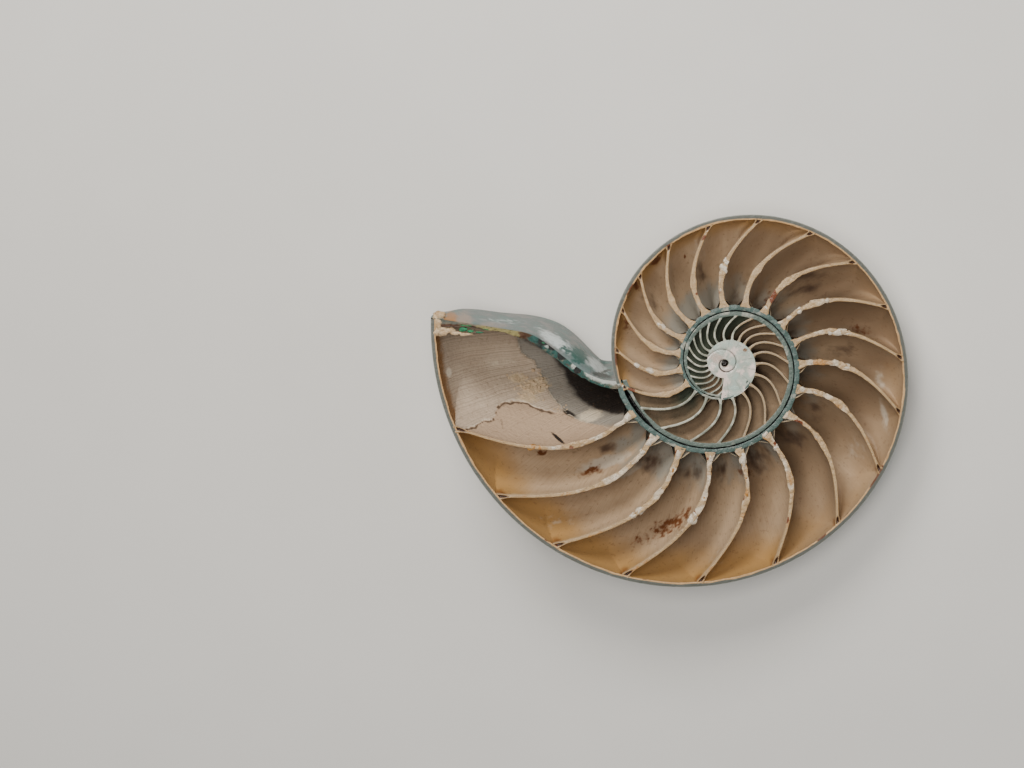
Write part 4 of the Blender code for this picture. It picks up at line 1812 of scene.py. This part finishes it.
def scattered(seed: int, count: int, place: tuple[float, float], spread: tuple[float, float],
              sizes: tuple[float, float]) -> tuple[Crumb, ...]:
    """Small lumps strewn round a pixel, the same ones in every run.

    Args:
        seed: picks the pattern.
        count: how many.
        place: middle, in pixels.
        spread: how far they lie from it, in pixels.
        sizes: smallest and largest, in pixels.

    Returns:
        The lumps.
    """
    dice = np.random.default_rng(seed)
    found = []
    for _ in range(count):
        x, y = dice.normal(place, spread)
        wide, high = dice.uniform(*sizes, 2)
        turn = dice.uniform(0, 180)
        found.append(Crumb(float(x), float(y), float(wide), float(high), float(turn)))
    return tuple(found)


LINING_LUMPS = (scattered(7, 46, (534.0, 388.0), (9.0, 7.0), (0.7, 2.3))
                + scattered(8, 14, (517.0, 379.0), (6.0, 3.0), (0.6, 1.6))
                + scattered(9, 12, (562.0, 409.0), (10.0, 4.0), (0.5, 1.3)))
WHITE_LUMPS = (
    Crumb(725, 270, 4.2, 6.0, 20), Crumb(723, 262, 2.9, 3.6), Crumb(721, 290, 2.3, 4.4),
    Crumb(663, 321, 5.7, 3.4, -40), Crumb(651, 364, 5.2, 2.9, -15), Crumb(641, 357, 3.4, 2.1, -30),
    Crumb(836, 333, 6.5, 3.4, 10), Crumb(828, 337, 3.9, 2.9), Crumb(846, 331, 3.9, 2.3),
    Crumb(830, 366, 6.0, 3.1, 5), Crumb(842, 369, 5.2, 2.9, -15), Crumb(852, 371, 3.9, 2.3, -20),
    Crumb(808, 364, 4.2, 2.6), Crumb(641, 514, 5.5, 3.9, 40), Crumb(634, 521, 3.4, 2.9, 40),
    Crumb(690, 522, 4.4, 5.2, 30), Crumb(693, 517, 3.1, 4.2), Crumb(625, 455, 6.0, 2.6, 30),
    Crumb(609, 472, 4.4, 2.6, 35), Crumb(744, 459, 3.9, 5.5, -10), Crumb(738, 466, 2.6, 3.6),
    Crumb(760, 437, 3.1, 3.9, -30), Crumb(774, 449, 2.6, 3.4), Crumb(799, 395, 3.9, 2.9, -20),
    Crumb(812, 399, 3.1, 2.3, -20), Crumb(619, 390, 1.8, 2.9), Crumb(708, 461, 3.1, 4.2),
    Crumb(675, 455, 3.4, 4.9, -20), Crumb(641, 437, 4.7, 3.1, 45), Crumb(634, 446, 3.4, 2.6, 40),
    Crumb(797, 312, 3.9, 2.9, 30), Crumb(767, 310, 3.1, 3.6, -20), Crumb(790, 322, 3.6, 2.3, 35),
    Crumb(623, 412, 4.7, 3.9, 60), Crumb(552, 449, 3.9, 2.1), Crumb(822, 300, 3.1, 2.1))
AMBER_LUMPS = (
    Crumb(532, 446, 5.4, 3.0, 10), Crumb(539, 451, 3.0, 2.0), Crumb(525, 449, 2.4, 1.6),
    Crumb(562, 494, 2.4, 1.4, 25), Crumb(668, 470, 1.8, 2.6, -30), Crumb(747, 496, 1.6, 3.0),
    Crumb(791, 480, 1.5, 2.6), Crumb(838, 486, 1.3, 2.2), Crumb(745, 480, 1.8, 2.4),
    Crumb(705, 500, 1.6, 2.6, 20))
BEIGE_LUMPS = (
    Crumb(438, 323, 5.0, 10.0, 8, 0.5), Crumb(443, 331, 8.0, 4.6, 0, 0.5),
    Crumb(446, 323, 7.0, 8.0, 0, 0.9), Crumb(437, 332, 3.6, 4.0, 0, 0.4),
    Crumb(451, 331, 5.0, 3.0, 0, 0.6), Crumb(441, 315, 6.0, 3.4, 0, 0.9),
    Crumb(457, 333, 5.0, 1.8, 0, 0.6), Crumb(466, 334, 6.0, 1.4, 0, 0.7))
GREEN_LUMPS = (
    Crumb(464, 329, 4.6, 2.2, 0, 0.5), Crumb(471, 331, 3.4, 1.2, 0, 0.5),
    Crumb(480, 332, 3.6, 0.9, 0, 0.5), Crumb(535, 339, 4.6, 1.6, -15, 0.5),
    Crumb(543, 343, 2.6, 1.2, -20, 0.5))


@dataclass(frozen=True)
class Lamp:
    """A soft box, placed in the sawn face's frame and aimed at the shell."""

    name: str
    place: tuple[float, float, float]
    size: float
    watts: float
    tint: tuple[float, float, float] = (1.0, 1.0, 1.0)
    target: tuple[float, float, float] = (-0.01, -0.01, 0.0)

    def make(self, seat: Seat) -> None:
        """Add the lamp.

        Args:
            seat: how the half lies.
        """
        data = bpy.data.lights.new(self.name, "AREA")
        data.shape, data.size, data.energy, data.color = "SQUARE", self.size, self.watts, self.tint
        lamp = bpy.data.objects.new(self.name, data)
        bpy.context.scene.collection.objects.link(lamp)
        lamp.location = Vector(seat.lay(np.array(self.place)))
        target = Vector(seat.lay(np.array(self.target)))
        lamp.rotation_euler = (target - lamp.location).to_track_quat("-Z", "Y").to_euler()


LAMPS = (
    Lamp("top_softbox", (-0.30, 0.60, 0.50), 0.35, 6.5, (1.0, 0.96, 0.9)),
    Lamp("front_fill", (-0.20, 0.18, 0.95), 0.4, 7.0, (1.0, 0.96, 0.91)),
    Lamp("right_fill", (0.75, 0.1, 0.5), 0.5, 1.5, (0.95, 0.98, 1.0)))


@dataclass
class Stage:
    """The plain pale floor and the even light of the room."""

    reach: float = 3.0
    rows: int = 24
    air_tint: Colour = (0.9, 0.92, 0.95, 1.0)
    air_strength: float = 0.22

    def build(self, seat: Seat, finish: bpy.types.Material) -> None:
        """Add the floor, the lamps and the room's light.

        Args:
            seat: how the half lies.
            finish: the floor's material.
        """
        steps = np.linspace(-self.reach, self.reach, self.rows)
        x, y = np.meshgrid(steps, steps, indexing="ij")
        mesh = bpy.data.meshes.new("floor")
        index = np.arange(self.rows ** 2).reshape(self.rows, self.rows)
        quads = np.stack([index[:-1, :-1], index[1:, :-1], index[1:, 1:], index[:-1, 1:]], -1)
        mesh.from_pydata(np.stack([x.ravel(), y.ravel(), 0.0 * x.ravel()], -1).tolist(), [],
                         quads.reshape(-1, 4).tolist())
        mesh.materials.append(finish)
        floor = bpy.data.objects.new("floor", mesh)
        bpy.context.scene.collection.objects.link(floor)
        for lamp in LAMPS:
            lamp.make(seat)
        world = bpy.data.worlds.new("room")
        bpy.context.scene.world = world
        world.use_nodes = True
        air = world.node_tree.nodes["Background"]
        air.inputs["Color"].default_value = self.air_tint
        air.inputs["Strength"].default_value = self.air_strength


FLOOR = Finish(
    "pale_floor", paint("d9d7d2"), paint("d2d0cb"), mottle=0.4, mottle_size=0.2, specks=0.0,
    rough=0.8, rough_spread=0.1, bump=0.05)


def main() -> None:
    """Build every piece, dress it and report it."""
    logging.basicConfig(level=logging.INFO, format="%(name)s: %(message)s")
    effects, spiral, seat, view = Effects(), Spiral(), Seat(), View()
    view.make(seat)
    Stage().build(seat, FLOOR.make(effects))
    chambers, roof = Chambers(spiral, view), Roof(spiral, view)
    body_finish, chamber_finish = BODY.make(effects), CHAMBER.make(effects)
    made = Walls(spiral).build(seat, OUTSIDE.make(effects), WALL_EDGE.make(effects))
    made += chambers.build(seat, chamber_finish, chamber_finish,
                           COIL_CHAMBER.make(effects))
    septa = Septa(spiral, view)
    made += septa.build(seat, SEPTUM_EDGE.make(effects), COIL_EDGE.make(effects))
    made.append(Ring(spiral).build(seat, RING_EDGE.make(effects)))
    made.append(Core(spiral, view).build(seat, CORE.make(effects)))
    made += roof.build(seat, ROOF.make(effects), ROOF_EDGE.make(effects))
    body = BodyChamber(spiral, view, roof, chambers)
    made += body.build(seat, body_finish, SHADED_ROOF_UNDER.make(effects))
    made.append(Crumbs("lining_crumbs", LINING_LUMPS, view, 0.5, ground=body.ground).build(
        seat, LINING_CRUMB.make(effects)))
    rails = septa.rails()
    for name, lumps, finish, rough, line in (
            ("white_crumbs", WHITE_LUMPS, WHITE_CRUMB, 0.45, rails),
            ("amber_crumbs", AMBER_LUMPS, AMBER_CRUMB, 0.4, rails),
            ("beige_crumbs", BEIGE_LUMPS, BEIGE_CRUMB, 0.5, None),
            ("green_crust", GREEN_LUMPS, GREEN_CRUMB, 0.5, None)):
        made.append(Crumbs(name, lumps, view, rough, line).build(seat, finish.make(effects)))
    for piece in made:
        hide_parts("shell_half")
    LOG.info("%d pieces", len(made))


if __name__ == "__main__":
    main()
